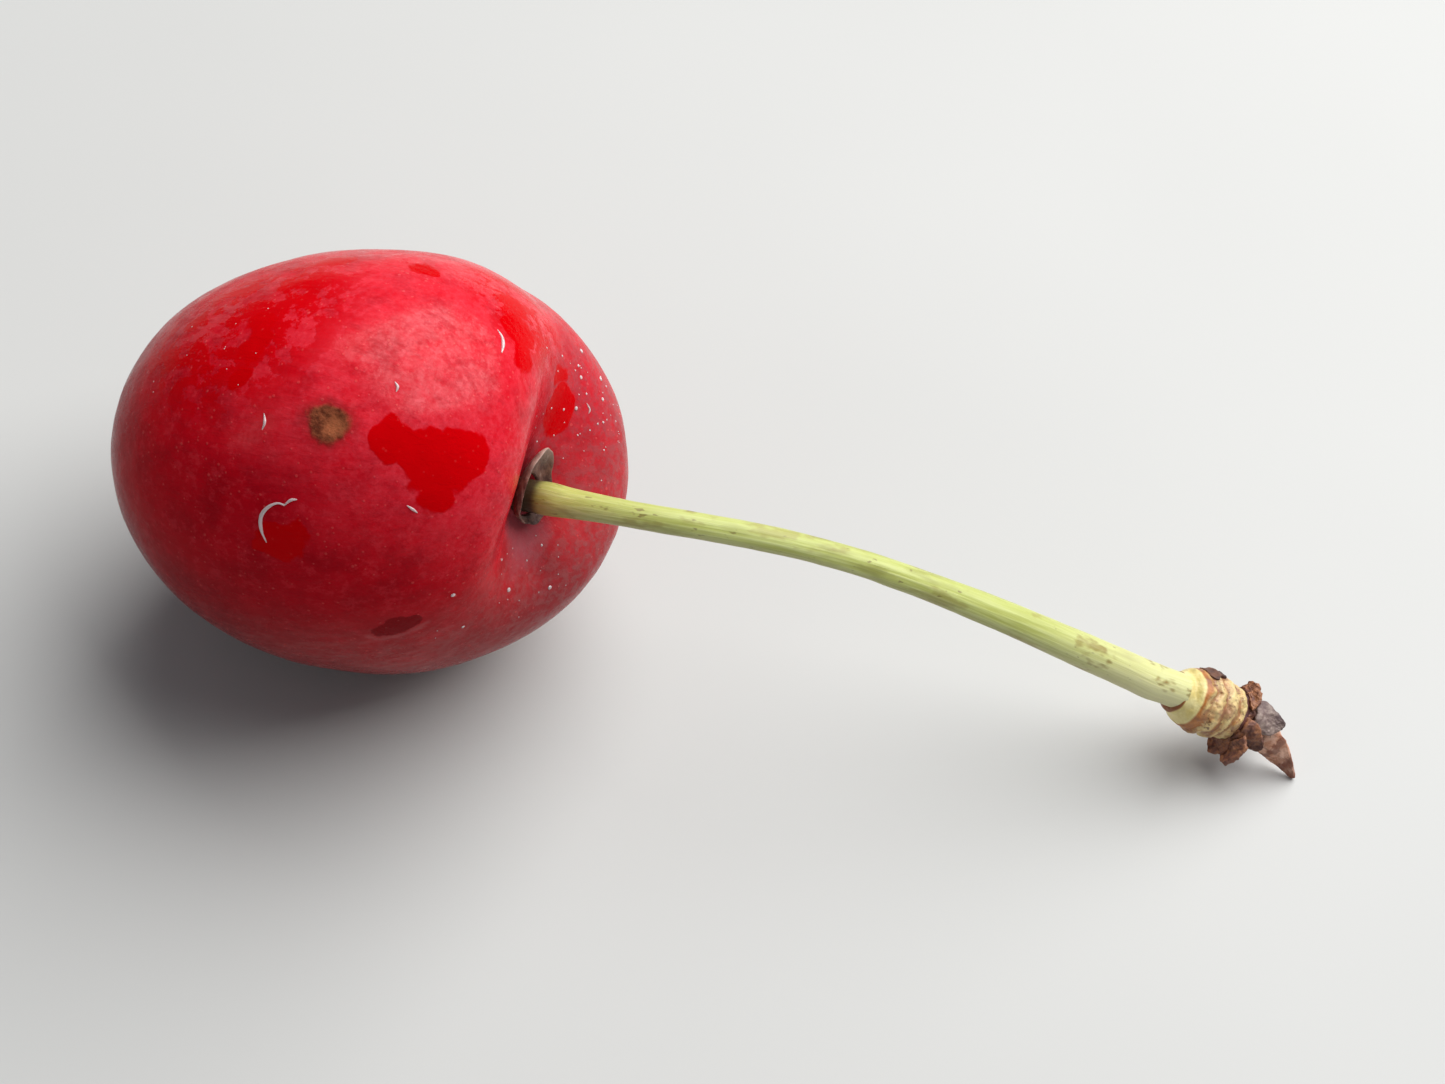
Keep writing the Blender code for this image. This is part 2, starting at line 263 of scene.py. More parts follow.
# %% A board that makes nodes
class Board:
    """A node tree, and the one way that nodes are added to it."""

    def __init__(self, tree):
        self.tree = tree

    def node(self, kind, settings=None, sockets=None, out=0):
        made = self.tree.nodes.new(kind)
        for name, value in (settings or {}).items():
            if name == "captures":
                for form, title in value:
                    made.capture_items.new(form, title)
            else:
                setattr(made, name, value)
        for name, value in (sockets or {}).items():
            if isinstance(value, Wire):
                self.tree.links.new(value.socket, made.inputs[name])
            else:
                made.inputs[name].default_value = value
        return Wire(self, made.outputs[out] if made.outputs else None)

    def vector(self, operation, *values, out=0):
        sockets = dict(enumerate(values))
        return self.node("ShaderNodeVectorMath", {"operation": operation}, sockets, out)

    def scaled(self, vector, factor):
        return self.node(
            "ShaderNodeVectorMath", {"operation": "SCALE"}, {"Vector": vector, "Scale": factor}
        )

    def distance(self, place, point):
        return self.vector("DISTANCE", place, point, out=1)

    def along(self, place, direction):
        return self.vector("DOT_PRODUCT", place, direction, out=1)

    def noise(self, place, grain, detail=2.0, rough=0.5, out=0):
        """Cloudy noise from 0 to 1 whose lumps are about grain across, in the units of place."""
        return self.node(
            "ShaderNodeTexNoise",
            {},
            {"Vector": place, "Scale": 1.0 / grain, "Detail": detail, "Roughness": rough},
            out,
        )

    def mix(self, share, first, second):
        """A colour between two colours."""
        return self.node("ShaderNodeMix", {"data_type": "RGBA"}, {0: share, 6: first, 7: second}, 2)


print("a board knows:", skills(Board))

# %% [markdown]
# ## A finish
#
# A finish is one material. Its patterns follow the Object coordinate, turned to millimetres, so a
# number in a pattern is a size on the real fruit. Every finish ends in one Principled surface.

# %% A finish to be wired
class Finish(Board):
    """A new material with its own board. Its place is the Object coordinate, in millimetres."""

    def __init__(self, name):
        self.material = bpy.data.materials.new(name)
        self.material.use_nodes = True
        super().__init__(self.material.node_tree)
        self.tree.nodes.clear()
        coordinates = self.node("ShaderNodeTexCoord", out=3)
        self.place = self.scaled(coordinates, 1 / MM)

    def bump(self, height, distance, under=None):
        """A normal from a height from 0 to 1, where 1 stands that many metres proud."""
        sockets = {"Height": height, "Distance": distance, "Strength": 1.0}
        if under:
            sockets["Normal"] = under
        return self.node("ShaderNodeBump", {}, sockets)

    def done(self, **sockets):
        """End in a Principled surface with these sockets, named with _ for a space."""
        named = {name.replace("_", " "): value for name, value in sockets.items()}
        shader = self.node("ShaderNodeBsdfPrincipled", {}, named)
        self.node("ShaderNodeOutputMaterial", {}, {"Surface": shader})
        return self.material


print("a finish adds:", skills(Finish))

# %% [markdown]
# ## The floor's finish
#
# Even a plain sheet is never one flat tone. A faint broad cloud between two near whites keeps it
# quiet without making it dead.
#
# Screen colours are easiest to think in, but nodes take linear ones, so one function turns them.

# %% Floor finish
FLOOR_CLOUD = 40.0  # mm across


def srgb(red, green, blue):
    """A screen colour from 0 to 255 as the linear colour that nodes take."""
    parts = [part / 255 for part in (red, green, blue)]
    linear = [p / 12.92 if p <= 0.04045 else ((p + 0.055) / 1.055) ** 2.4 for p in parts]
    return (*linear, 1.0)


sheet = Finish("plain_floor")
sheet_tone = sheet.noise(sheet.place, FLOOR_CLOUD)
sheet_colour = sheet.mix(sheet_tone, srgb(196, 196, 193), srgb(203, 203, 200))
floor.data.materials.append(sheet.done(Base_Color=sheet_colour, Roughness=0.6))
print("finish ready:", floor.data.materials[0].name)

# %% [markdown]
# ## Copies of the solids
#
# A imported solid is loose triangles. To be refined, it is copied, its doubled points are merged and
# its triangles are paired back into four-sided faces, which subdivide far more evenly. The solid
# itself is never touched: it is only hidden behind the piece that stands for it.

# %% Copy a solid as tidy faces
MERGE = 0.001 * MM  # points closer than this are one point
MOST_BEND = math.radians(40)  # between two triangles that become one face
MOST_SKEW = math.radians(60)  # of the face's corners


def merge_and_pair(shape):
    """Merge doubled points, and pair triangles into four-sided faces."""
    bmesh.ops.remove_doubles(shape, verts=shape.verts, dist=MERGE)
    bmesh.ops.join_triangles(
        shape,
        faces=shape.faces,
        angle_face_threshold=MOST_BEND,
        angle_shape_threshold=MOST_SKEW,
    )


def tidy_copy(node):
    """A new object with the solid's faces, merged and mostly four-sided."""
    shape = bmesh.new()
    shape.from_mesh(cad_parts[node].data)
    merge_and_pair(shape)
    print(f"{node}: {len(shape.faces)} faces before refining")
    return placed(f"{node}_look", mesh_from(node, shape))


print("points closer than", MERGE, "m will be merged")

# %% [markdown]
# ## Shape trees
#
# What is grown or repeated is made by Geometry Nodes. A tree is built here, run once on its piece,
# and its result is kept as a plain mesh, so the finished piece no longer depends on the tree. The
# sizes that one may want to change are the tree's named inputs.

# %% Build a shape tree and take its result
def corners_of(points):
    """The lowest and the highest corner of the box round some points."""
    low = Vector([min(point[i] for point in points) for i in range(3)])
    high = Vector([max(point[i] for point in points) for i in range(3)])
    return low, high


class Shaper(Board):
    """A Geometry Nodes tree with named inputs. The last node in it sets the material."""

    def __init__(self, name):
        super().__init__(bpy.data.node_groups.new(name, "GeometryNodeTree"))
        self.values = {}
        self.tree.interface.new_socket(
            "Geometry", in_out="OUTPUT", socket_type="NodeSocketGeometry"
        )
        self.tree.interface.new_socket("Geometry", in_out="INPUT", socket_type="NodeSocketGeometry")
        self.entry = self.tree.nodes.new("NodeGroupInput")
        self.given = Wire(self, self.entry.outputs["Geometry"])

    def size(self, name, value, form="Float"):
        """A named input of the tree, and the value that this piece gives it."""
        made = self.tree.interface.new_socket(
            name, in_out="INPUT", socket_type=f"NodeSocket{form}"
        )
        self.values[made.identifier] = value
        return Wire(self, self.entry.outputs[name])

    def refined(self, levels):
        """The given mesh, subdivided that many times."""
        count = self.size("Subdivisions", levels, "Int")
        return self.node("GeometryNodeSubdivisionSurface", {}, {"Mesh": self.given, "Level": count})

    def spot(self):
        """Each point's place, in millimetres."""
        return self.scaled(self.node("GeometryNodeInputPosition"), 1 / MM)

    def moved(self, geometry, offset):
        return self.node("GeometryNodeSetPosition", {}, {"Geometry": geometry, "Offset": offset})

    def push(self, geometry, distance):
        """Move the surface out along its normal by that distance."""
        normal = self.node("GeometryNodeInputNormal")
        return self.moved(geometry, self.scaled(normal, distance))

    def shape(self, piece, geometry, material):
        """End the tree, run it on the piece and keep the result as its plain mesh."""
        whole = self.node("GeometryNodeRealizeInstances", {}, {"Geometry": geometry})
        smooth = self.node("GeometryNodeSetShadeSmooth", {}, {"Geometry": whole})
        painted = self.node("GeometryNodeSetMaterial", {}, {"Geometry": smooth, "Material": material})
        leave = self.tree.nodes.new("NodeGroupOutput")
        self.tree.links.new(painted.socket, leave.inputs["Geometry"])
        modifier = piece.modifiers.new(self.tree.name, "NODES")
        modifier.node_group = self.tree
        for identifier, value in self.values.items():
            modifier[identifier] = value
        bpy.context.view_layer.update()
        evaluated = piece.evaluated_get(bpy.context.evaluated_depsgraph_get())
        mesh = bpy.data.meshes.new_from_object(evaluated)
        piece.modifiers.clear()
        piece.data = mesh
        mesh.name = piece.name
        low, high = corners_of([v.co for v in mesh.vertices])
        print(f"{piece.name}: {len(mesh.polygons)} faces, from {in_mm(low)} to {in_mm(high)} mm")
        return piece


print("a shape tree adds:", skills(Shaper))

# %% [markdown]
# ## Places on the skin
#
# A cherry's skin is thin and waxy, and rain lies on it. Where water films it, the red is deep and
# clear. Where it is dry, bloom and fine pale dots spread a pink veil, and on the top that veil is
# partly a painted sheen. What is a mark of this one fruit, such as a film, a scab or a dent, has a
# named place, measured in millimetres in the frame. What is only skin is left to noise.

# %% Places on the skin
# Each film of water is a union of round spots: (centre, radius) in millimetres.
FILM_SPOTS = {
    "front_heart": [
        ((0.5, -7.4, 26.0), 1.15),
        ((4.2, -7.3, 24.9), 1.6),
        ((2.2, -8.0, 25.1), 1.7),
        ((2.8, -9.1, 23.7), 1.2),
    ],
    "upper_left": [
        ((-6.0, -0.3, 26.7), 1.0),
        ((-7.3, -2.8, 26.0), 0.8),
        ((-6.6, -1.6, 26.4), 0.7),
        ((-4.2, 3.0, 26.6), 0.6),
    ],
    "shoulder": [((7.5, 0.6, 25.2), 1.3), ((7.3, 2.6, 24.8), 1.1), ((7.6, -1.3, 25.0), 0.9)],
    "lower_left": [((-5.2, -9.9, 20.7), 1.1), ((-4.6, -9.9, 21.6), 0.8), ((-5.9, -9.9, 20.0), 0.5)],
    "far_lobe": [((9.8, -0.1, 19.0), 1.3), ((9.2, 1.6, 20.2), 1.0)],
    "top": [((-2.0, 4.8, 25.7), 1.2), ((2.6, 3.8, 26.5), 0.8)],
}
DARK_OVAL = [
    ((0.1, -11.6, 14.9), 0.50),
    ((0.5, -11.6, 15.1), 0.70),
    ((0.9, -11.6, 15.4), 0.78),
    ((1.3, -11.5, 15.6), 0.70),
    ((1.7, -11.5, 15.8), 0.55),
]
SCAB = Vector((-2.8, -6.4, 26.6))
SCAB_RADIUS = 1.05
DENTS = [Vector((6.9, -8.0, 15.0)), Vector((8.8, -7.1, 13.4))]
BLOOM_PATCH = Vector((7.6, -5.7, 15.3))
# Each soft patch is (centre, how far from it the patch begins, how far from it the patch is full).
BROKEN_PATCHES = [((-7.0, 1.5, 25.0), 8.5, 3.5), ((7.5, 2.5, 24.0), 4.5, 2.0)]
RIME_AND_SHEEN_PATCHES = [((-9.0, 5.5, 22.0), 8.0, 3.0)]
DAMP_PATCHES = [((12.0, 0.5, 17.0), 7.5, 2.5), ((12.0, -7.0, 11.5), 6.5, 2.0)]
STALK_WAY = Vector((0.85, -0.42, 0.32)).normalized()
LIT_SIDE = Vector((0.35, -0.05, 0.93)).normalized()
LOW_SIDE = (0.25, -0.2, -0.95)
CUP_MIDDLE = sum(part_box("flower_cup"), Vector()) / 2 / MM
FRUIT_CENTRE = fruit_middle / MM
HALF_HEIGHT = (fruit_high.z - fruit_low.z) / 2 / MM


def union_of_spots(board, place, spots):
    """How far a place is outside the nearest spot, in millimetres. Inside it is below 0."""
    edges = [board.distance(place, centre) - radius for centre, radius in spots]
    return functools.reduce(Wire.at_most, edges)


def soft_zone(board, place, patches):
    """1 in the middle of every patch, and 0 well outside them all."""
    zones = [board.distance(place, centre).fade(begins, full) for centre, begins, full in patches]
    return functools.reduce(Wire.at_least, zones)


print(len(FILM_SPOTS), "films of water and a scab", 2 * SCAB_RADIUS, "mm across")

# %% [markdown]
# ## Films of water
#
# Rain lies on the wax in films with ragged edges. Each film is a union of round spots. The place
# that they are measured from is pushed about by a broad and a fine noise, so no edge stays a plain
# arc. Between the films the water has broken up into islands, most of all on the upper left.

# %% Films of water
skin = Finish("cherry_skin")
place = skin.place
wander = skin.vector("SUBTRACT", skin.noise(place, 2.0, 1.0, 0.5, out=1), (0.5, 0.5, 0.5))
notch = skin.vector("SUBTRACT", skin.noise(place, 0.45, 2.0, 0.5, out=1), (0.5, 0.5, 0.5))
ragged_place = skin.vector("ADD", place, skin.scaled(wander, 2.2))
ragged_place = skin.vector("ADD", ragged_place, skin.scaled(notch, 0.55))
all_spots = [spot for spots in FILM_SPOTS.values() for spot in spots]
film = union_of_spots(skin, ragged_place, all_spots).fade(0.14, -0.10)
broken_up = soft_zone(skin, place, BROKEN_PATCHES)
islands = skin.noise(place, 1.6, 5.0, 0.68).fade(0.47, 0.52) * broken_up
film = film.at_least(islands * 0.9)
print("films:", len(all_spots), "spots, with islands between them")

# %% [markdown]
# ## Ripe flesh
#
# The top is bright crimson, and the left cheek and the underside are maroon. This is partly the
# ripening of the side that had the sun and partly painted shade. How far a place leans to the lit side
# says how bright it is, and clouds of noise blur the border.

# %% Ripe flesh
from_centre = skin.vector("SUBTRACT", place, tuple(FRUIT_CENTRE))
lean = skin.along(from_centre, tuple(LIT_SIDE)) / HALF_HEIGHT
cloud = skin.noise(place, 7.0, 3.0)
ripe_and_lit = (lean + (cloud - 0.5) * 0.9).fade(-0.75, 0.65)
# veil: how far a place faces the overhead light, for the painted sheen in the colour and for the coat
veil = (lean + (cloud - 0.5) * 0.4).fade(0.30, 0.98)
mottle = skin.noise(place, 2.2, 5.0, 0.65)
# maroon below and on the left cheek, crimson on top: ripening, and partly painted shade
colour = skin.mix(ripe_and_lit, srgb(98, 1, 12), srgb(206, 1, 24))
colour = skin.mix(mottle.fade(0.40, 0.70) * 0.5, colour, srgb(146, 1, 16))
print("ripeness wired:", len(skin.tree.nodes), "nodes so far")

# %% [markdown]
# ## Bloom on the dry skin
#
# Bloom is a thin pale layer of wax. It is patchy, and drawn out a little towards the stalk, so some of
# its noise is stretched along the fruit's axis. It lies on top of the flesh's colour, and only where
# there is no film of water. On the top it is painted stronger, as a painted sheen. The last layer is
# the film itself, deep and clear.

# %% Bloom on the dry skin
axis_run = skin.along(place, tuple(STALK_WAY))
drawn_place = skin.vector("SUBTRACT", place, skin.scaled(tuple(STALK_WAY), axis_run * 0.8))
blotch = skin.noise(place, 3.4, 4.0, 0.62).fade(0.36, 0.62)
grain = skin.noise(place, 0.42, 4.0, 0.7).fade(0.35, 0.7)
drawn = skin.noise(drawn_place, 0.55, 4.0, 0.66).fade(0.44, 0.60)
break_up = skin.noise(place, 1.3, 5.0, 0.75).fade(0.38, 0.54)
speckle = skin.noise(place, 0.26, 3.0, 0.6).fade(0.44, 0.62)
dry = (1.0 - film) * (0.14 + blotch * 0.28 + grain * 0.22 + drawn * 0.18 + speckle * 0.22)
# pale bloom, painted stronger on the top as a painted sheen of the overhead light
colour = skin.mix(dry * (0.05 + veil * 0.48), colour, srgb(246, 74, 90))
# pale drawn streaks on the upper left: bloom, and partly a painted sheen
rime_and_sheen = soft_zone(skin, place, RIME_AND_SHEEN_PATCHES)
colour = skin.mix(rime_and_sheen * drawn * (1.0 - film) * 0.24, colour, srgb(214, 120, 124))
fleck = skin.noise(place, 0.75, 5.0, 0.75).fade(0.50, 0.64)
colour = skin.mix(fleck * (1.0 - film) * (0.06 + ripe_and_lit * 0.22), colour, srgb(232, 64, 76))
stain = skin.noise(drawn_place, 0.95, 5.0, 0.72).fade(0.53, 0.66)
colour = skin.mix(stain * (1.0 - film) * 0.34, colour, srgb(164, 4, 20))
colour = skin.mix(film * 0.8, colour, srgb(204, 0, 2))
print("bloom wired:", len(skin.tree.nodes), "nodes so far")

# %% [markdown]
# ## Mist and haze
#
# The far lobe stays damp and duller, greyed by a mist of the finest drops. Low on the underside a pale
# haze is painted, which also stands in as a painted reflection of the pale floor. Both are soft zones,
# broken up by the grain that the bloom already has.

# %% Mist and haze
mist = soft_zone(skin, place, DAMP_PATCHES)
drops = mist * (0.20 + drawn * 0.24 + grain * 0.18) * (1.0 - film)
colour = skin.mix(drops, colour, srgb(144, 66, 74))
# pale haze towards the underside, partly a painted reflection of the floor
low_haze_and_sheen = (skin.along(place, LOW_SIDE) + (cloud - 0.5) * 3.0).fade(-15.5, -8.0)
colour = skin.mix(low_haze_and_sheen * (0.18 + drawn * 0.20 + grain * 0.14), colour, srgb(164, 98, 96))
print("mist wired:", len(skin.tree.nodes), "nodes so far")

# %% [markdown]
# ## The dark film
#
# Near the resting side one small film lies in the dark. It is painted darker, as painted shade, and
# the pale lip along its lower edge is a painted highlight. It has its own union of spots, because its
# colour differs from that of the films on top.

# %% Dark film
PAINTED_LIP_SIDE = (0.3, -0.4, -0.87)  # the way from the film to its lip
oval_place = skin.vector("ADD", place, skin.scaled(notch, 0.45))
oval_edge = union_of_spots(skin, oval_place, DARK_OVAL)
oval = oval_edge.fade(0.07, -0.07)
# painted shade: the film is darker than the films on top
colour = skin.mix(oval * 0.9, colour, srgb(132, 0, 10))
painted_lip_band = skin.along(place, PAINTED_LIP_SIDE).fade(-8.4, -8.0)
# painted highlight: a pale lip along the film's lower edge
colour = skin.mix(oval_edge.bell(0.28, 0.18) * painted_lip_band * 0.30, colour, srgb(196, 116, 116))
print("dark film wired:", len(skin.tree.nodes), "nodes so far")

# %% [markdown]
# ## Pores and the cavity
#
# Fine pale dots are the skin's pores: cells of a Voronoi pattern, each with a dot of its own size in
# the middle. Under the stalk is a patch of bloom that rain never reached. The floor of the cavity,
# round the cup, is painted dark as painted shade, since little light gets there.

# %% Pores and the cavity
pores = skin.node("ShaderNodeTexVoronoi", {}, {"Vector": place, "Scale": 2.0})
pore_size = skin.noise(place, 0.9) * 0.30 - 0.05
pore = (pores - pore_size).fade(0.07, -0.02) * (1.0 - film * 0.7)
colour = skin.mix(pore * 0.26, colour, srgb(238, 104, 100))

bloom = skin.distance(ragged_place, tuple(BLOOM_PATCH)).fade(2.6, 0.6)
colour = skin.mix(bloom * 0.42, colour, srgb(165, 112, 122))

# painted shade on the floor of the cavity, round the cup
cavity_shade = skin.distance(ragged_place, tuple(CUP_MIDDLE)).fade(3.4, 1.2)
colour = skin.mix(cavity_shade * 0.6, colour, srgb(84, 10, 18))
print("pores and cavity wired:", len(skin.tree.nodes), "nodes so far")

# %% [markdown]
# ## The scab
#
# An old wound heals as cork: dark round its edge, paler in its raw middle, and rough. It is laid
# over the skin's colour last, with a bruised ring round it.

# %% Scab
RAW_SHIFT = Vector((0.25, -0.2, 0.0))  # mm from the scab's middle to its raw spot
scab_place = skin.vector("ADD", place, skin.scaled(notch, 0.4))
scab_place = skin.vector("ADD", scab_place, skin.scaled(wander, 1.2))
scab_away = skin.distance(scab_place, tuple(SCAB)) / SCAB_RADIUS
raw_away = skin.distance(scab_place, tuple(SCAB + RAW_SHIFT)) / SCAB_RADIUS
cork_grain = skin.noise(place, 0.45, 4.0, 0.65)
cork = skin.mix(cork_grain.fade(0.35, 0.65), srgb(90, 42, 28), srgb(144, 78, 52))
cork = skin.mix(raw_away.fade(0.85, 0.15) * 0.65, cork, srgb(188, 110, 72))
scab = scab_away.fade(1.16, 0.80)
colour = skin.mix(scab_away.fade(1.6, 1.0) * 0.45, colour, srgb(140, 36, 34))
colour = skin.mix(scab, colour, cork)
print("scab wired:", len(skin.tree.nodes), "nodes so far")

# %% [markdown]
# ## The whole skin
#
# Films are smooth and bloom is rough, so one mask decides the colour, the roughness and the bump
# together. A thin rough coat over the dry skin gives the bloom its soft sheen, and a little
# scattering under the surface keeps the flesh from looking like painted wood.

# %% Skin finish
rough = 0.40 - blotch * 0.10 - mottle * 0.12 - grain * 0.10
rough = rough * (1.0 - film) + film * 0.06
rough = rough * (1.0 - oval) + oval * 0.10
rough = rough.at_least(scab * 0.7).at_least(bloom * 0.55)
micro = skin.noise(place, 0.6, 4.0, 0.6) * (1.0 - film)
soft_bump = skin.bump(micro + pore * 0.5 + drawn * 0.3, 0.022 * MM)
wet_bump = skin.bump(film, 0.02 * MM, under=soft_bump)
cork_bump = skin.bump(cork_grain * scab, 0.12 * MM, under=wet_bump)
wax = 0.20 + grain * 0.24 + speckle * 0.14
sheen = veil * (0.25 + break_up * 0.75) * wax + mist * drawn * 0.10
skin_finish = skin.done(
    Base_Color=colour,
    Roughness=rough,
    Normal=cork_bump,
    IOR=1.40,
    Specular_IOR_Level=0.03,
    Coat_Weight=(1.0 - film) * (1.0 - scab) * (0.01 + sheen * (1.0 - stain * 0.4)),
    Coat_Roughness=0.20,
    Subsurface_Weight=0.06,
    Subsurface_Radius=(0.8, 0.08, 0.05),
    Subsurface_Scale=2.0 * MM,
)
print("skin finish:", len(skin.tree.nodes), "nodes")

# %% [markdown]
# ## The fruit
#
# Real fruit is never as even as the solid it is packed as. The copy is subdivided, then moved in
# and out along its normals: broad swells that bend every reflection, the scab's crater with its
# raised rim, and two small dents beside the cavity. The tree takes each of these sizes by name.

# %% Fruit
UP = (0.0, 0.0, 1.0)
fruit = tidy_copy("fruit")
shaper = Shaper("fruit_surface")
swell = shaper.size("Swell", 0.16 * MM)
ripple = shaper.size("Ripple", 0.022 * MM)
crater = shaper.size("Crater depth", 0.16 * MM)
rim = shaper.size("Crater rim", 0.10 * MM)
dent = shaper.size("Dent depth", 0.16 * MM)
fine = shaper.refined(2)
spot = shaper.spot()
waves = (shaper.noise(spot, 6.5, 2.0) - 0.5) * 2.0 * swell
waves = waves + (shaper.noise(spot, 1.3, 2.0) - 0.5) * 2.0 * ripple
away = shaper.distance(spot, tuple(SCAB)) / SCAB_RADIUS
waves = waves + away.bell(1.05, 0.28) * rim - away.bell(0.0, 0.62) * crater
for place_of_dent in DENTS:
    waves = waves - shaper.distance(spot, tuple(place_of_dent)).bell(0.0, 0.9) * dent
off_floor = shaper.along(spot, UP).fade(0.1, 2.0)  # the resting flat stays flat
fruit = shaper.shape(fruit, shaper.push(fine, waves * off_floor), skin_finish)
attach(fruit, "root")
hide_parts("fruit")

# %% [markdown]
# ## The stalk's middle line
#
# The stalk is a stiff green stem, round, and thicker at both ends. Its middle line and its radii
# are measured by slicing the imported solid, and a tube will be drawn along them. At both ends the
# line runs on a little, into the cup and into the stub.

# %% Measure the stalk's middle line
STALK_SLICES = 44
SLICE_INSET = 0.9 * MM  # the first and last slice are this far from the stalk's ends
FOOT_IN = 1.0  # mm that the tube runs on into the cup
FOOT_FLARE = 1.05  # how much wider it is there
TIP_IN = 1.25  # mm that it runs on into the stub


def slice_at(source, x):
    """The points where an upright plane at that X cuts the shape."""
    cut = source.copy()
    parts = cut.verts[:] + cut.edges[:] + cut.faces[:]
    sliced = bmesh.ops.bisect_plane(cut, geom=parts, plane_co=(x, 0, 0), plane_no=(1, 0, 0))
    ring = [part.co.copy() for part in sliced["geom_cut"] if isinstance(part, bmesh.types.BMVert)]
    cut.free()
    return ring


def slice_stalk():
    """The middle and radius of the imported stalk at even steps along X, in metres."""
    source = bmesh.new()
    source.from_mesh(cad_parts["stalk"].data)
    bmesh.ops.remove_doubles(source, verts=source.verts, dist=MERGE)
    low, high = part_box("stalk")
    reach = high.x - low.x - 2 * SLICE_INSET
    found = []
    for step in range(STALK_SLICES):
        ring = slice_at(source, low.x + SLICE_INSET + reach * step / (STALK_SLICES - 1))
        found.append((sum(corners_of(ring), Vector()) / 2, ring))
    source.free()
    line = []
    for step, (centre, ring) in enumerate(found):
        before = found[max(step - 1, 0)][0]
        after = found[min(step + 1, STALK_SLICES - 1)][0]
        course = (after - before).normalized()
        spokes = [p - centre for p in ring]
        lengths = [(spoke - course * spoke.dot(course)).length for spoke in spokes]
        line.append((centre, sum(lengths) / len(ring)))
    return line


stalk_line = slice_stalk()
foot, foot_radius = stalk_line[0]
tip, tip_radius = stalk_line[-1]
foot_course = (stalk_line[1][0] - foot).normalized()
tip_course = (tip - stalk_line[-2][0]).normalized()
stalk_line.insert(0, (foot - foot_course * FOOT_IN * MM, foot_radius * FOOT_FLARE))
stalk_line.append((tip + tip_course * TIP_IN * MM, tip_radius))
stalk_length = sum(
    (after[0] - before[0]).length for before, after in zip(stalk_line, stalk_line[1:])
)
print("stalk:", round(stalk_length / MM, 1), "mm long")
print("radii in mm:", in_mm([radius for _, radius in stalk_line[::9]], 2))

# %% [markdown]
# ## Streaks along the stalk
#
# A living stem is streaked along its length. Every point of the tube will carry its place on the
# straightened stalk, called rod, so streaks can run along it through each bend. Noise is drawn out
# into streaks by shrinking the length that it reads.

# %% Streaks along the stalk
STALK_MM = stalk_length / MM
UNDER_WAY = (-0.1, -0.5, -0.86)  # the way that the shaded flank faces
OVER_WAY = (0.2, 0.4, 0.9)  # the way that the lit flank faces
green = Finish("green_stalk")
rod = green.node("ShaderNodeAttribute", {"attribute_name": "rod"}, out=1)
run = green.along(rod, UP)
faces_way = green.node("ShaderNodeNewGeometry", out=1)


def drawn_out(share):
    """The place on the straight stalk, with its length shrunk to that share."""
    return green.vector("MULTIPLY", rod, (1.0, 1.0, share))


streak = green.noise(drawn_out(0.03), 0.16, 3.0, 0.6)
broad = green.noise(drawn_out(0.25), 0.9, 3.0)
shaded_flank = green.along(faces_way, UNDER_WAY).fade(0.05, 0.95)
lit_flank = green.along(faces_way, OVER_WAY).fade(0.1, 0.95)
print("streaks wired:", len(green.tree.nodes), "nodes so far")

# %% [markdown]
# ## The stalk's finish
#
# The stem is painted darker and olive on its shaded flank, as painted shade, and a little duller on
# its lit flank to even out the light from above, so it stays lighter on top. It is olive and flecked
# with brown in places and cream towards the spur. Where it goes into the cup it is brown, then nearly
# black under the cup's rim as painted shade. Each of these is one more mix on the streaks.

# %% Stalk finish
flesh = green.mix(streak.fade(0.30, 0.72), srgb(188, 194, 98), srgb(220, 226, 150))
# painted shade: the lit flank is dulled to even out the light from above
flesh = green.mix(lit_flank * 0.5, flesh, srgb(178, 186, 96))
# painted shade: the shaded flank is darker and olive
flesh = green.mix(shaded_flank * 0.6, flesh, srgb(140, 130, 60))
flesh = green.mix(broad.fade(0.50, 0.72) * 0.5, flesh, srgb(132, 128, 48))
cream = run.fade(STALK_MM * 0.70, STALK_MM * 0.97)
flesh = green.mix(cream * 0.7 * (1.0 - lit_flank * 0.4), flesh, srgb(240, 232, 182))
olive = green.noise(drawn_out(0.45), 1.3, 3.0, 0.6).fade(0.53, 0.62)
flesh = green.mix(olive * (0.35 + cream * 0.6), flesh, srgb(138, 110, 34))
stalk_fleck = green.noise(drawn_out(0.4), 0.42, 2.0, 0.7)
stalk_fleck = (stalk_fleck + run.fade(16.0, 4.0) * 0.06).fade(0.68, 0.74)
flesh = green.mix(stalk_fleck * 0.6, flesh, srgb(108, 80, 34))
flesh = green.mix(run.fade(3.2, 1.4) * 0.6, flesh, srgb(128, 104, 48))
# painted shade: nearly black where the foot goes under the cup's rim
flesh = green.mix(run.fade(1.9, 1.3) * 0.93, flesh, srgb(52, 24, 18))
stalk_finish = green.done(
    Base_Color=flesh,
    Roughness=0.38 + streak * 0.15,
    Normal=green.bump(streak, 0.04 * MM),
    Coat_Weight=0.15,
    Coat_Roughness=0.2,
    Subsurface_Weight=0.1,
    Subsurface_Radius=(0.6, 0.7, 0.2),
    Subsurface_Scale=0.5 * MM,
)
print("stalk finish:", len(green.tree.nodes), "nodes")

# %% [markdown]
# ## Tubes along a line
#
# A stem and a lip of water are both tubes. A line with a thickness at each point becomes a smooth
# curve, and a circle swept along it becomes the tube. The nodes for that are kept together here, so
# both can use them.

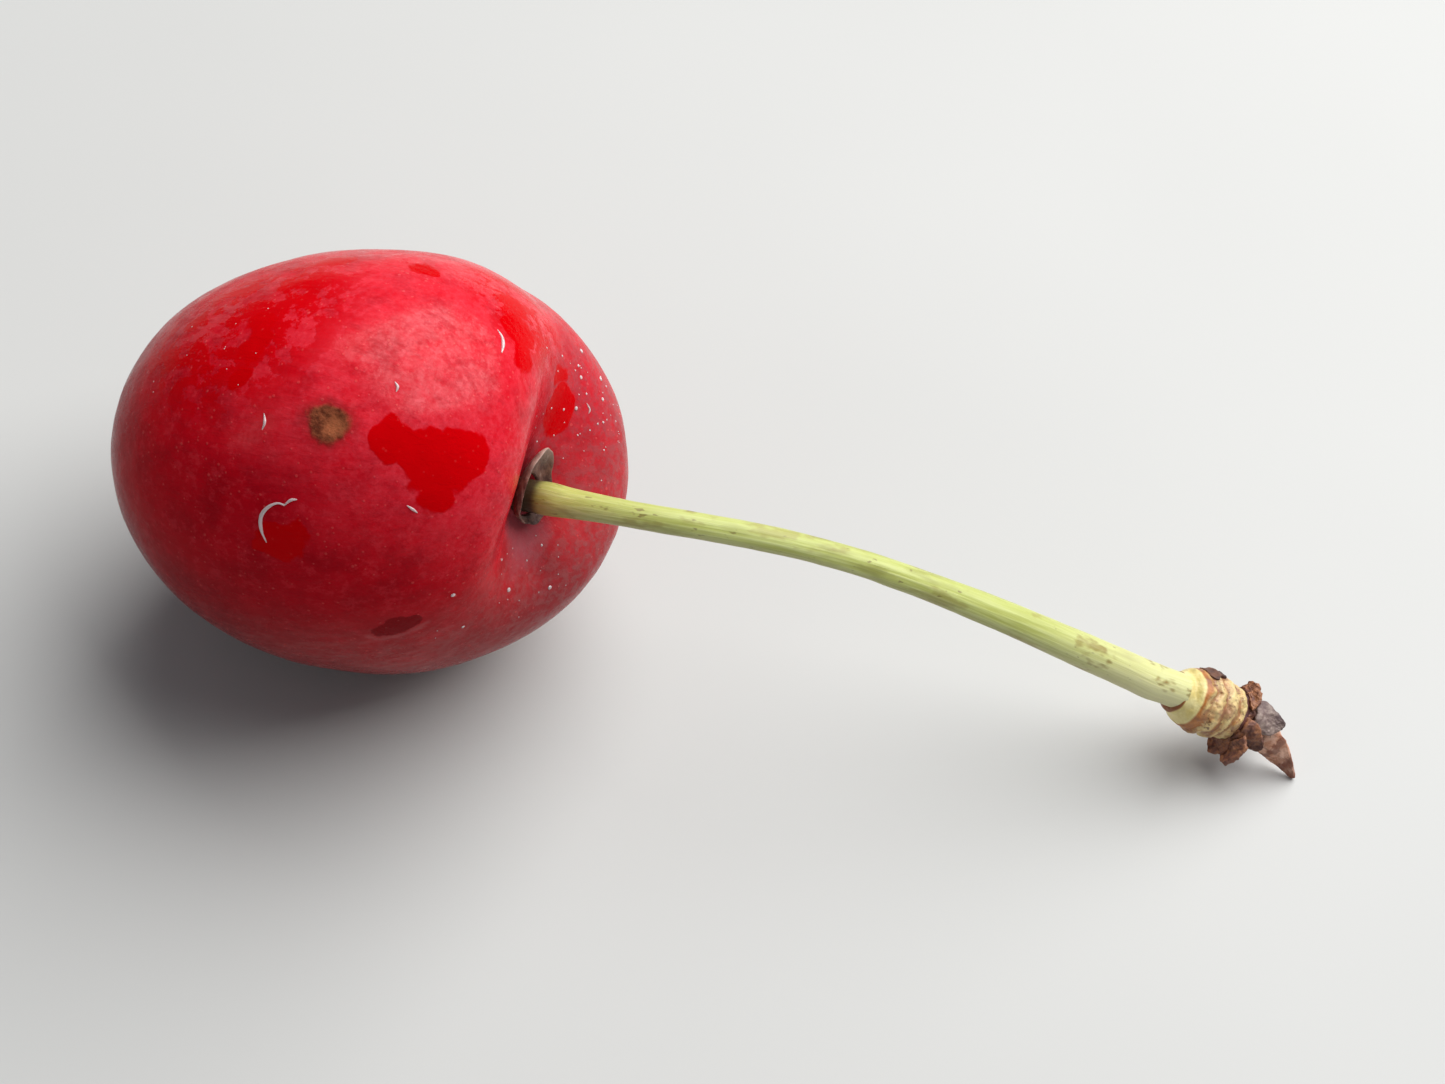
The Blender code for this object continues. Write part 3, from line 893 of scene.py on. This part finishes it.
# %% Tubes along a line
class Sweeper(Shaper):
    """A shape tree that turns a line with a thickness into a round tube."""

    def smooth_curve(self, steps):
        """The given line as a smooth curve with that many points."""
        line = self.node("GeometryNodeMeshToCurve", {}, {"Mesh": self.given})
        smooth = {"spline_type": "CATMULL_ROM"}
        curve = self.node("GeometryNodeCurveSplineType", smooth, {"Curve": line})
        return self.node("GeometryNodeResampleCurve", {}, {"Curve": curve, "Count": steps})

    def circle(self, sides):
        sockets = {"Resolution": sides, "Radius": 1.0}
        return self.node("GeometryNodeCurvePrimitiveCircle", {}, sockets)

    def named(self, name, form="FLOAT"):
        """An attribute that the points already carry."""
        return self.node("GeometryNodeInputNamedAttribute", {"data_type": form}, {"Name": name})

    def sweep(self, curve, profile, thickness):
        """A closed tube with that profile and thickness along the curve."""
        sockets = {"Curve": curve, "Profile Curve": profile, "Scale": thickness, "Fill Caps": True}
        return self.node("GeometryNodeCurveToMesh", {}, sockets)


def thick_line(name, points, edges, radii):
    """A new object that is only a line, with a thickness at each of its points."""
    mesh = bpy.data.meshes.new(name)
    mesh.from_pydata(points, edges, [])
    mesh.attributes.new("thickness", "FLOAT", "POINT").data.foreach_set("value", radii)
    print(f"{name}: a line of {len(points)} points")
    return placed(name, mesh)


print("a sweeper adds:", skills(Sweeper))

# %% [markdown]
# ## The stalk
#
# The stem is swept along its measured line, as thick as the solid is at each slice. Drawing it again,
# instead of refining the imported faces, gives even rings. The tree also keeps each point's place on
# the straight stalk for the finish. Fine ridges and soft lumps are then pushed out of it.

# %% Stalk
stalk_edges = [(step, step + 1) for step in range(len(stalk_line) - 1)]
stalk_points, stalk_radii = zip(*stalk_line)
stalk = thick_line("stalk_look", stalk_points, stalk_edges, stalk_radii)

shaper = Sweeper("stalk_tube")
steps = shaper.size("Steps along", 260, "Int")
sides = shaper.size("Sides", 36, "Int")
ridge = shaper.size("Ridge", 0.035 * MM)
lump = shaper.size("Lump", 0.05 * MM)
thickness = shaper.named("thickness")
curve = shaper.node(
    "GeometryNodeCaptureAttribute",
    {"captures": [("FLOAT", "run"), ("FLOAT", "thick")]},
    {
        "Geometry": shaper.smooth_curve(steps),
        1: shaper.node("GeometryNodeSplineParameter", out=1),
        2: thickness,
    },
)
ring = shaper.node(
    "GeometryNodeCaptureAttribute",
    {"captures": [("VECTOR", "ring")]},
    {"Geometry": shaper.circle(sides), 1: shaper.node("GeometryNodeInputPosition")},
)
along_rod = shaper.node("ShaderNodeCombineXYZ", {}, {"Z": curve.other(1) / MM})
across_rod = shaper.scaled(ring.other(1), curve.other(2) / MM)
tube = shaper.node(
    "GeometryNodeStoreNamedAttribute",
    {"data_type": "FLOAT_VECTOR", "domain": "POINT"},
    {
        "Geometry": shaper.sweep(curve, ring, thickness),
        "Name": "rod",
        "Value": shaper.vector("ADD", across_rod, along_rod),
    },
)
rod_given = shaper.named("rod", "FLOAT_VECTOR")
rod_drawn = shaper.vector("MULTIPLY", rod_given, (1.0, 1.0, 0.06))
ribs = shaper.noise(rod_drawn, 0.45, 1.0) - 0.5
lumps = shaper.noise(rod_given, 2.6, 2.0) - 0.5
waves = ribs * 2.0 * ridge + lumps * 2.0 * lump
stalk = shaper.shape(stalk, shaper.push(tube, waves), stalk_finish)
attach(stalk, "root")
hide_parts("stalk")

# %% [markdown]
# ## The spur stub
#
# The stalk came off with a knobbly piece of the fruiting spur: a cream ring, an orange-brown crack
# round it, then a wrinkled tan knob. Old bud scars circle the knob, about one to a millimetre. The
# colours and the wrinkles both follow the distance along the stub, so it is measured first, and one
# function gives the pattern to both.

# %% Measure the stub
STUB_SLOPE = math.radians(30.0)  # how steeply it points down
STUB_SWING = -0.03  # and a little towards the front
SCAR_PITCH = 6.3  # radians of the scars' wave to a millimetre
stub_source = [Vector(v.co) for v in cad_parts["spur_stub"].data.vertices]
stub_course = Vector((math.cos(STUB_SLOPE), STUB_SWING, -math.sin(STUB_SLOPE))).normalized()
stub_start = min(point.dot(stub_course) for point in stub_source) / MM
stub_end = max(point.dot(stub_course) for point in stub_source) / MM
STUB_LENGTH = stub_end - stub_start


def stub_pattern(board, place):
    """The distance along the stub, how it wanders, and the wave of the scars round the knob."""
    run = board.along(place, tuple(stub_course)) - stub_start
    wander = (board.noise(place, 1.3, 3.0) - 0.5) * 0.9
    scars = ((run + wander * 1.5) * SCAR_PITCH).alone("SINE")
    return run, wander, scars


print("stub:", round(STUB_LENGTH, 2), "mm long")

# %% [markdown]
# ## The knob's bark
#
# The knob is tan. The ridges that follow the scars are painted pale as painted highlights, and the
# grooves between them brown as painted shade. Over that lie cream patches painted as highlights of
# gloss, brown smudges and dark specks, each a noise of its own size, and it darkens towards the
# scales.

# %% Bark of the knob
bark = Finish("spur_bark")
run, wander, scars = stub_pattern(bark, bark.place)
band = run + wander * 0.35
blot = bark.noise(bark.place, 0.8, 4.0, 0.6)
tan = bark.mix(blot.fade(0.35, 0.65), srgb(186, 130, 72), srgb(230, 208, 146))
tan = bark.mix(bark.noise(bark.place, 1.6, 2.0).fade(0.5, 0.65) * 0.4, tan, srgb(206, 140, 96))
# painted highlight on the scars' ridges, painted shade in their grooves
tan = bark.mix(scars.fade(0.1, 0.9) * 0.5, tan, srgb(240, 218, 150))
tan = bark.mix(scars.fade(-0.35, -0.95) * 0.65, tan, srgb(146, 84, 44))
# cream patches painted as highlights of gloss
painted_gloss = bark.noise(bark.place, 0.9, 3.0, 0.6).fade(0.52, 0.66)
tan = bark.mix(painted_gloss * 0.7, tan, srgb(244, 224, 150))
smudge = bark.noise(bark.place, 1.05, 4.0, 0.68).fade(0.50, 0.60)
tan = bark.mix(smudge * 0.6, tan, srgb(150, 92, 72))
speck = bark.noise(bark.place, 0.32, 3.0, 0.7).fade(0.58, 0.66)
tan = bark.mix(speck * 0.8, tan, srgb(104, 56, 28))
tan = bark.mix(band.fade(STUB_LENGTH * 0.62, STUB_LENGTH * 0.98) * 0.75, tan, srgb(128, 78, 66))
print("bark wired:", len(bark.tree.nodes), "nodes so far")

# %% [markdown]
# ## The stub's finish
#
# Along the stub the colours change in bands: a thin brown edge at the stalk, the cream ring, the
# orange-brown crack, then the knob's bark. On the shaded side the crack reaches further.

# %% Stub finish
SAG_WAY = (-0.3, -0.7, -0.65)  # the way that the shaded side faces
sag = bark.along(bark.node("ShaderNodeNewGeometry", out=1), SAG_WAY).fade(0.1, 0.95)
cream_ring = bark.mix(blot.fade(0.3, 0.7), srgb(222, 200, 118), srgb(246, 232, 164))
crack = bark.mix(blot.fade(0.3, 0.7), srgb(140, 76, 26), srgb(196, 122, 48))
coat = bark.mix(band.fade(0.16, 0.28), srgb(146, 82, 26), cream_ring)
coat = bark.mix(band.fade(1.05, 1.2), coat, crack)
coat = bark.mix((run + wander * 1.0 - sag * 0.8).fade(1.25, 1.6), coat, tan)
wrinkle = scars * 0.5 + bark.noise(bark.place, 0.5, 4.0, 0.6)
bark_finish = bark.done(
    Base_Color=coat,
    Roughness=0.34 + blot * 0.3,
    Normal=bark.bump(wrinkle, 0.08 * MM),
    Coat_Weight=0.25,
    Coat_Roughness=0.18,
)
print("bark finish:", len(bark.tree.nodes), "nodes")

# %% [markdown]
# ## The stub
#
# The scars are real ridges, so they are pushed out of the surface as well as painted. The same
# function gives the wave, so the colour and the shape stay together. The ring by the stalk is
# smooth, and lumps make the knob uneven.

# %% Stub
stub = tidy_copy("spur_stub")
shaper = Shaper("stub_surface")
wrinkle_depth = shaper.size("Wrinkle depth", 0.16 * MM)
knobble = shaper.size("Knobble", 0.16 * MM)
fine = shaper.refined(3)
spot = shaper.spot()
run, wander, scars = stub_pattern(shaper, spot)
on_knob = run.fade(1.2, 1.9)
lumps = (shaper.noise(spot, 1.0, 3.0) - 0.5) * 2.0
waves = scars * wrinkle_depth * on_knob * 0.5 + lumps * knobble * (0.25 + on_knob * 0.75)
stub = shaper.shape(stub, shaper.push(fine, waves), bark_finish)
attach(stub, "root")
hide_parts("spur_stub")

# %% [markdown]
# ## Dry, papery finishes
#
# What is left of the flower and of the winter bud has dried to paper: purple-brown, tan or grey,
# darker at the edges. Each piece has its own three tints, and one function wires them, so that all
# of them age in the same way from root to tip.

# %% Dry finishes
BAND_PITCH = 26.0  # radians of the bands' wave to a whole scale


def dry_finish(name, tints, root, tip, run_from=0.55, bands=0.0):
    """A papery finish that darkens from its root to its tip, both in millimetres.

    The tints are pale, dark and edge. Bands are that strong, and cross the scale where older scales
    lay over it.
    """
    pale, dark, edge = tints
    dry_skin = Finish(name)
    course = Vector(tip) - Vector(root)
    from_root = dry_skin.vector("SUBTRACT", dry_skin.place, tuple(root))
    run = dry_skin.along(from_root, tuple(course / course.length_squared))
    cloud = dry_skin.noise(dry_skin.place, 0.5, 4.0, 0.65)
    along = dry_skin.scaled(tuple(course.normalized()), run * course.length * -0.85)
    fibre = dry_skin.noise(dry_skin.vector("ADD", dry_skin.place, along), 0.28, 3.0, 0.6)
    tone = dry_skin.mix(cloud.fade(0.35, 0.65), pale, dark)
    tone = dry_skin.mix((run + (cloud - 0.5) * 0.5).fade(run_from, 1.0) * 0.85, tone, edge)
    tone = dry_skin.mix(fibre.fade(0.55, 0.72) * 0.45, tone, edge)
    if bands:
        crossing = ((run + (cloud - 0.5) * 0.22) * BAND_PITCH).alone("SINE")
        tone = dry_skin.mix(crossing.fade(0.1, 0.9) * bands, tone, edge)
    return dry_skin.done(
        Base_Color=tone,
        Roughness=0.45 + cloud * 0.25,
        Normal=dry_skin.bump(fibre + cloud, 0.05 * MM),
    )


print("bands are", round(math.tau / BAND_PITCH, 2), "of a scale apart")

# %% [markdown]
# ## The flower cup
#
# Round the stalk's foot lies what is left of the flower: a thin dry saucer with a torn rim. Thin
# blades buckle as they dry, so its copy is subdivided and crumpled by noise in every direction, not
# only along its normals. Both faces of the blade move together, so it stays a closed wall.

# %% Flower cup
CUP_TINTS = (srgb(130, 90, 76), srgb(84, 52, 46), srgb(180, 152, 138))
CUP_RIM_WAY = Vector((-0.3, 1.6, 1.9))  # mm from its middle to its dry upper rim


def crumple(piece, name, finish, amount, grain):
    """Subdivide a thin piece and crumple it by that many millimetres, but not on the floor."""
    shaper = Shaper(f"{name}_surface")
    depth = shaper.size("Crumple", amount * MM)
    fine = shaper.refined(2)
    spot = shaper.spot()
    crush = shaper.vector("SUBTRACT", shaper.noise(spot, grain, 4.0, 0.7, out=1), (0.5, 0.5, 0.5))
    off_floor = shaper.along(spot, UP).fade(0.0, 0.8)
    crushed = shaper.moved(fine, shaper.scaled(crush, depth * 2.0 * off_floor))
    return shaper.shape(piece, crushed, finish)


def crumpled(node, finish, amount, grain=0.9):
    """A crumpled copy of a thin solid, that stands for it."""
    piece = crumple(tidy_copy(node), node, finish, amount, grain)
    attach(piece, "root")
    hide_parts(node)


cup_points = [Vector(v.co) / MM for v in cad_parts["flower_cup"].data.vertices]
cup_centre = sum(cup_points, Vector()) / len(cup_points)
cup_rim = cup_centre + CUP_RIM_WAY
cup_paper = dry_finish("dry_flower_cup", CUP_TINTS, cup_centre, cup_rim, 0.4)
crumpled("flower_cup", cup_paper, 0.09)

# %% [markdown]
# ## The bud scales
#
# At the stub's end stand the scales of the winter bud, no two of one colour. They buckle like the
# cup, only harder. The long one that reaches down to the floor is banded where older scales lay over
# it.

# %% Bud scales
SCALE_CRUMPLE = 0.24  # mm
BANDED_SCALE = "bud_scale_long"
SCALE_TINTS = {
    "bud_scale_upright": (srgb(176, 108, 54), srgb(138, 78, 40), srgb(72, 38, 32)),
    "bud_scale_near": (srgb(160, 140, 130), srgb(118, 96, 92), srgb(74, 54, 56)),
    "bud_scale_lower": (srgb(156, 104, 66), srgb(108, 68, 60), srgb(76, 46, 52)),
    "bud_scale_under": (srgb(112, 76, 74), srgb(78, 50, 56), srgb(52, 34, 40)),
    "bud_scale_long": (srgb(242, 194, 168), srgb(208, 142, 108), srgb(120, 62, 44)),
    "bud_scale_back": (srgb(140, 94, 74), srgb(98, 62, 56), srgb(66, 40, 38)),
}


def ends_of(node):
    """The two ends of a scale, nearest to and furthest from the stub's start, in millimetres."""
    points = [Vector(v.co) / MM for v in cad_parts[node].data.vertices]
    near = min(points, key=lambda p: p.dot(stub_course))
    far = max(points, key=lambda p: (p - near).length)
    return near, far


for node, tints in SCALE_TINTS.items():
    bands = 0.7 if node == BANDED_SCALE else 0.0
    scale_paper = dry_finish(f"{node}_paper", tints, *ends_of(node), bands=bands)
    crumpled(node, scale_paper, SCALE_CRUMPLE)

# %% [markdown]
# ## Places round the stub
#
# The next three pieces stand on the stub or round it, and no solid stands for them. It is easiest to
# say how far along the stub a point is, how far round it and how far out, so two functions turn that
# into a place.

# %% Places round the stub
knob = [point / MM for point in stub_source]
axis_point = sum(knob, Vector()) / len(knob)
axis_point -= stub_course * (axis_point.dot(stub_course) - stub_start)
side_on = stub_course.cross(Vector(UP)).normalized()
side_up = side_on.cross(stub_course)


def beside_the_stub(run, turn, away):
    """The place that far along the stub, turned round it and away from its middle, in metres."""
    out = side_on * math.cos(turn) + side_up * math.sin(turn)
    return (axis_point + stub_course * run + out * away) * MM


def along_the_stub(run):
    """The place that far along the stub's middle line, in millimetres."""
    return axis_point + stub_course * run


print("the stub's middle line starts at", [round(part, 1) for part in axis_point], "mm")

# %% [markdown]
# ## The dead bud
#
# In the middle of the scales is the shut bud that they guarded, pointed and ridged. It is turned from
# a short list of radii, and a few sines in its radius make the ridges. A modelled ridge catches the
# light better than a bump would.

# %% Dead bud
BUD_TINTS = (srgb(112, 66, 58), srgb(74, 44, 48), srgb(48, 28, 34))
BUD_AGEING = (4.4, 7.0)  # mm along the stub, where its tints begin and end
# Each ring of the bud is (distance along the stub, radius), in millimetres.
BUD_PROFILE = [(3.9, 0.9), (4.2, 1.3), (4.7, 1.4), (5.2, 1.3), (5.8, 1.05), (6.3, 0.68), (6.7, 0.3)]
BUD_SIDES = 40
bud_shape = bmesh.new()
bud_rings = []
for run, radius in BUD_PROFILE:
    bud_ring = []
    for step in range(BUD_SIDES):
        turn = math.tau * step / BUD_SIDES
        ridged = radius * (1 + 0.06 * math.sin(5 * turn + run) + 0.03 * math.sin(11 * turn))
        bud_ring.append(bud_shape.verts.new(beside_the_stub(run, turn, ridged)))
    bud_rings.append(bud_ring)
for low_ring, high_ring in zip(bud_rings, bud_rings[1:]):
    for step in range(BUD_SIDES):
        after = (step + 1) % BUD_SIDES
        bud_shape.faces.new((low_ring[step], low_ring[after], high_ring[after], high_ring[step]))
bud_shape.faces.new(bud_rings[0])
bud_shape.faces.new(bud_rings[-1])
bmesh.ops.recalc_face_normals(bud_shape, faces=bud_shape.faces)
bud = placed("dead_bud", mesh_from("dead_bud", bud_shape))
bud_paper = dry_finish("dead_bud_paper", BUD_TINTS, *map(along_the_stub, BUD_AGEING))
shaper = Shaper("dead_bud_surface")
depth = shaper.size("Crumple", 0.12 * MM)
fine = shaper.refined(2)
waves = (shaper.noise(shaper.spot(), 0.6, 3.0) - 0.5) * 2.0 * depth
bud = shaper.shape(bud, shaper.push(fine, waves), bud_paper)
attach(bud, "root")

# %% [markdown]
# ## A flake of bark
#
# A torn flake of old bark lies on top of the knob and has begun to lift. It must follow the knob's
# wrinkles, so its points are laid on the finished surface, on a small grid that narrows to one end.
# A second grid under it and a rim between them close it to a thin solid.

# %% Bark flake
FLAKE_TINTS = (srgb(112, 70, 48), srgb(80, 48, 38), srgb(58, 36, 34))
FLAKE_RUN = (1.45, 3.0)  # mm along the stub
FLAKE_TURN = (math.radians(98), math.radians(146))  # round it, from its near side over its top
FLAKE_STEPS = 12
FLAKE_LIFTS = {"under": -0.04, "over": 0.07}  # mm from the knob's surface
FLAKE_CURL = 0.10  # mm that its far end stands higher
WELL_OUTSIDE = 2.2  # mm from the stub's middle, to look for its surface from


def surface_tree(piece):
    """The finished surface of a piece, ready for finding its nearest point to a place."""
    return BVHTree.FromPolygons(
        [v.co for v in piece.data.vertices], [list(p.vertices) for p in piece.data.polygons]
    )


def flake_place(share, across):
    """How far along the stub and how far round it a point of the flake lies."""
    narrowing = 0.5 + 0.5 * math.sin(math.pi * min(share * 1.3, 1.0)) ** 0.5
    across = 1.0 - (1.0 - across) * narrowing * (0.86 + 0.14 * math.sin(9.0 * share))
    run = FLAKE_RUN[0] + (FLAKE_RUN[1] - FLAKE_RUN[0]) * share
    return run, FLAKE_TURN[0] + (FLAKE_TURN[1] - FLAKE_TURN[0]) * across


stub_tree = surface_tree(stub)
flake_shape = bmesh.new()
layers = {}
for layer, lift in FLAKE_LIFTS.items():
    for i in range(FLAKE_STEPS + 1):
        for j in range(FLAKE_STEPS + 1):
            share = i / FLAKE_STEPS
            look_from = beside_the_stub(*flake_place(share, j / FLAKE_STEPS), WELL_OUTSIDE)
            point, normal, _, _ = stub_tree.find_nearest(look_from)
            raised = lift + (FLAKE_CURL * share * (lift > 0))
            layers[layer, i, j] = flake_shape.verts.new(point + normal * raised * MM)
for i in range(FLAKE_STEPS):
    for j in range(FLAKE_STEPS):
        for layer in FLAKE_LIFTS:
            corners = ((i, j), (i + 1, j), (i + 1, j + 1), (i, j + 1))
            flake_shape.faces.new([layers[(layer, *corner)] for corner in corners])
rim_path = [(i, 0) for i in range(FLAKE_STEPS)] + [(FLAKE_STEPS, j) for j in range(FLAKE_STEPS)]
rim_path += [(FLAKE_STEPS - i, FLAKE_STEPS) for i in range(FLAKE_STEPS)]
rim_path += [(0, FLAKE_STEPS - j) for j in range(FLAKE_STEPS)]
for here, there in zip(rim_path, rim_path[1:] + rim_path[:1]):
    ring = [("under", *here), ("under", *there), ("over", *there), ("over", *here)]
    flake_shape.faces.new([layers[corner] for corner in ring])
bmesh.ops.recalc_face_normals(flake_shape, faces=flake_shape.faces)
flake = placed("bark_flake", mesh_from("bark_flake", flake_shape))
flake_crust = dry_finish("bark_flake_crust", FLAKE_TINTS, *map(along_the_stub, FLAKE_RUN))
crumple(flake, "bark_flake", flake_crust, 0.05, 0.5)
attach(flake, "root")

# %% [markdown]
# ## Lips of water
#
# At the edge of a film the water stands up in a curled lip, which is where the sharp white glints
# are. A glint needs a real round edge, so each lip is a thin tube along a short path, and the path
# is laid on the fruit's finished surface.

# %% Lips of water
LIP_PATHS = [
    # points along each lip: (x, y, z, radius), in millimetres
    [
        (-5.95, -9.85, 20.7, 0.02),
        (-6.25, -9.5, 21.4, 0.09),
        (-6.2, -9.1, 22.1, 0.11),
        (-5.8, -8.85, 22.6, 0.10),
        (-5.3, -8.75, 22.9, 0.06),
        (-4.9, -8.85, 22.9, 0.05),
    ],
    [(-4.95, -8.9, 22.9, 0.03), (-4.6, -8.75, 23.2, 0.08), (-4.25, -8.75, 23.3, 0.03)],
    [(0.62, -4.6, 27.6, 0.02), (0.76, -4.85, 27.5, 0.08), (0.68, -5.1, 27.4, 0.02)],
    [(-6.05, -5.45, 26.1, 0.02), (-5.9, -5.75, 25.7, 0.08), (-6.02, -6.0, 25.4, 0.02)],
    [
        (6.2, -0.2, 26.3, 0.02),
        (6.4, -0.6, 26.15, 0.08),
        (6.42, -1.1, 26.1, 0.10),
        (6.32, -1.6, 26.1, 0.03),
    ],
    [(1.2, -9.5, 23.6, 0.02), (1.5, -9.6, 23.4, 0.07), (1.75, -9.7, 23.2, 0.02)],
    [(11.5, 1.1, 18.0, 0.02), (11.65, 0.9, 17.7, 0.06), (11.62, 0.7, 17.6, 0.02)],
]
LIP_RISE = 0.15  # how far a lip's middle stands off the skin, as a share of its radius
fruit_tree = surface_tree(fruit)
lip_points, lip_edges, lip_radii = [], [], []
for path in LIP_PATHS:
    for step, (x, y, z, radius) in enumerate(path):
        point, normal, _, _ = fruit_tree.find_nearest(Vector((x, y, z)) * MM)
        if step:
            lip_edges.append((len(lip_points) - 1, len(lip_points)))
        lip_points.append(point + normal * radius * LIP_RISE * MM)
        lip_radii.append(radius * MM)
lips = thick_line("water_lips", lip_points, lip_edges, lip_radii)

# %% [markdown]
# ## Water
#
# A lip of water is finer than a hair. Wholly clear, it would vanish at this size, so the finish is
# half clear and half white, a painted highlight, under a smooth coat that mirrors the soft box.

# %% Water finish and the lips' tubes
water = Finish("water")
water_finish = water.done(
    # white base colour: a painted highlight on the water, for the lips and the beads
    Base_Color=water.mix(water.noise(water.place, 0.8), srgb(255, 238, 238), srgb(255, 250, 250)),
    Roughness=0.04,
    IOR=1.33,
    Transmission_Weight=0.45,
    Coat_Weight=1.0,
    Coat_Roughness=0.03,
)
shaper = Sweeper("water_lip_tubes")
steps = shaper.size("Steps along", 24, "Int")
sides = shaper.size("Sides", 12, "Int")
wobble = shaper.size("Wobble", 0.015 * MM)
tube = shaper.sweep(shaper.smooth_curve(steps), shaper.circle(sides), shaper.named("thickness"))
waves = (shaper.noise(shaper.spot(), 0.6, 2.0) - 0.5) * 2.0 * wobble
lips = shaper.shape(lips, shaper.push(tube, waves), water_finish)
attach(lips, "root")

# %% [markdown]
# ## Beads of water
#
# Fine drops cling to the far lobe and round the cavity. They are scattered over a copy of the
# fruit's own surface, thickest in a few wet zones, and each is a flattened ball of a few dozen
# faces. Their sizes are random numbers raised to a power, so that most are tiny and a few large.

# %% Beads of water
# Each wet zone is (centre, where it begins, where it is full, how wet it is), in millimetres.
WET_ZONES = [
    ((11.5, 0.5, 18.0), 6.0, 2.0, 1.0),
    ((8.2, -7.6, 14.0), 3.5, 1.0, 1.0),
    ((4.5, -10.5, 15.0), 3.0, 1.0, 0.5),
    ((-9.0, 0.0, 25.0), 5.0, 1.0, 0.4),
]
BEAD_HEIGHT = 0.45  # as a share of its width
beads = placed("water_beads", fruit.data.copy())
shaper = Shaper("water_bead_scatter")
density = shaper.size("Beads per square metre", 1300000.0)
seed = shaper.size("Seed", 7, "Int")
largest = shaper.size("Largest bead", 0.15 * MM)
spot = shaper.spot()
zones = [
    shaper.distance(spot, centre).fade(begins, full) * wet
    for centre, begins, full, wet in WET_ZONES
]
scattered = shaper.node(
    "GeometryNodeDistributePointsOnFaces",
    {"distribute_method": "RANDOM"},
    {
        "Mesh": shaper.given,
        "Density": functools.reduce(Wire.at_least, zones) * density,
        "Seed": seed,
    },
)
ball = shaper.node("GeometryNodeMeshUVSphere", {}, {"Radius": 1.0, "Segments": 8, "Rings": 5})
flattened = {"Geometry": ball, "Scale": (1.0, 1.0, BEAD_HEIGHT)}
bead = shaper.node("GeometryNodeTransform", {}, flattened)
any_share = {2: 0.0, 3: 1.0, "Seed": seed}
luck = shaper.node("FunctionNodeRandomValue", {"data_type": "FLOAT"}, any_share, 1)
laid = shaper.node(
    "GeometryNodeInstanceOnPoints",
    {},
    {
        "Points": scattered,
        "Instance": bead,
        "Rotation": scattered.other("Rotation"),
        "Scale": (luck ** 4.0 * 0.75 + 0.25) * largest,
    },
)
beads = shaper.shape(beads, laid, water_finish)
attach(beads, "root")

# %% [markdown]
# ## Inner scales
#
# Between the six large scales stand smaller and more broken ones, which hide the bud's base. They
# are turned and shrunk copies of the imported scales, set round the stub, and crumpled harder than the
# large ones so that no copy is recognised.

# %% Inner scales
INNER_TINTS = (srgb(168, 112, 76), srgb(112, 72, 62), srgb(70, 44, 46))
INNER_AGEING = (4.4, 6.6)  # mm along the stub, where their tints begin and end
SCALES_JOIN = 4.6  # mm along the stub
INNER_SCALES = [
    # which scale is repeated, turned how far round the stub, at what size, moved how far along
    ("bud_scale_near", 52.0, 0.95, -0.45),
    ("bud_scale_near", 84.0, 0.80, -0.50),
    ("bud_scale_near", -26.0, 0.75, -0.50),
    ("bud_scale_upright", 22.0, 1.00, -0.30),
    ("bud_scale_upright", 46.0, 0.95, -0.35),
    ("bud_scale_lower", -14.0, 1.15, -0.35),
    ("bud_scale_lower", 18.0, 1.00, -0.45),
]
inner_shape = bmesh.new()
centre = along_the_stub(SCALES_JOIN) * MM
for node, degrees, share, shift in INNER_SCALES:
    before = len(inner_shape.verts)
    inner_shape.from_mesh(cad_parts[node].data)
    inner_shape.verts.ensure_lookup_table()
    move = (
        Matrix.Translation(centre + stub_course * shift * MM)
        @ Matrix.Rotation(math.radians(degrees), 4, stub_course)
        @ Matrix.Scale(share, 4)
        @ Matrix.Translation(-centre)
    )
    bmesh.ops.transform(inner_shape, matrix=move, verts=inner_shape.verts[before:])
merge_and_pair(inner_shape)
inner = placed("inner_scales", mesh_from("inner_scales", inner_shape))
inner_paper = dry_finish("inner_scale_paper", INNER_TINTS, *map(along_the_stub, INNER_AGEING))
crumple(inner, "inner_scales", inner_paper, 0.30, 0.7)
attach(inner, "root")

# %% [markdown]
# ## Sizes
#
# The looks must not outgrow the measured frame. Both boxes are written down, so that they can be
# compared.

# %% The finished sizes
look_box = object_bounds()
print("visual box in mm:", [in_mm(corner, 2) for corner in look_box])

# %% [markdown]
# ## Close
# Every piece was hung on the root body where it was made, and the solids that pieces stand for were
# hidden there too.
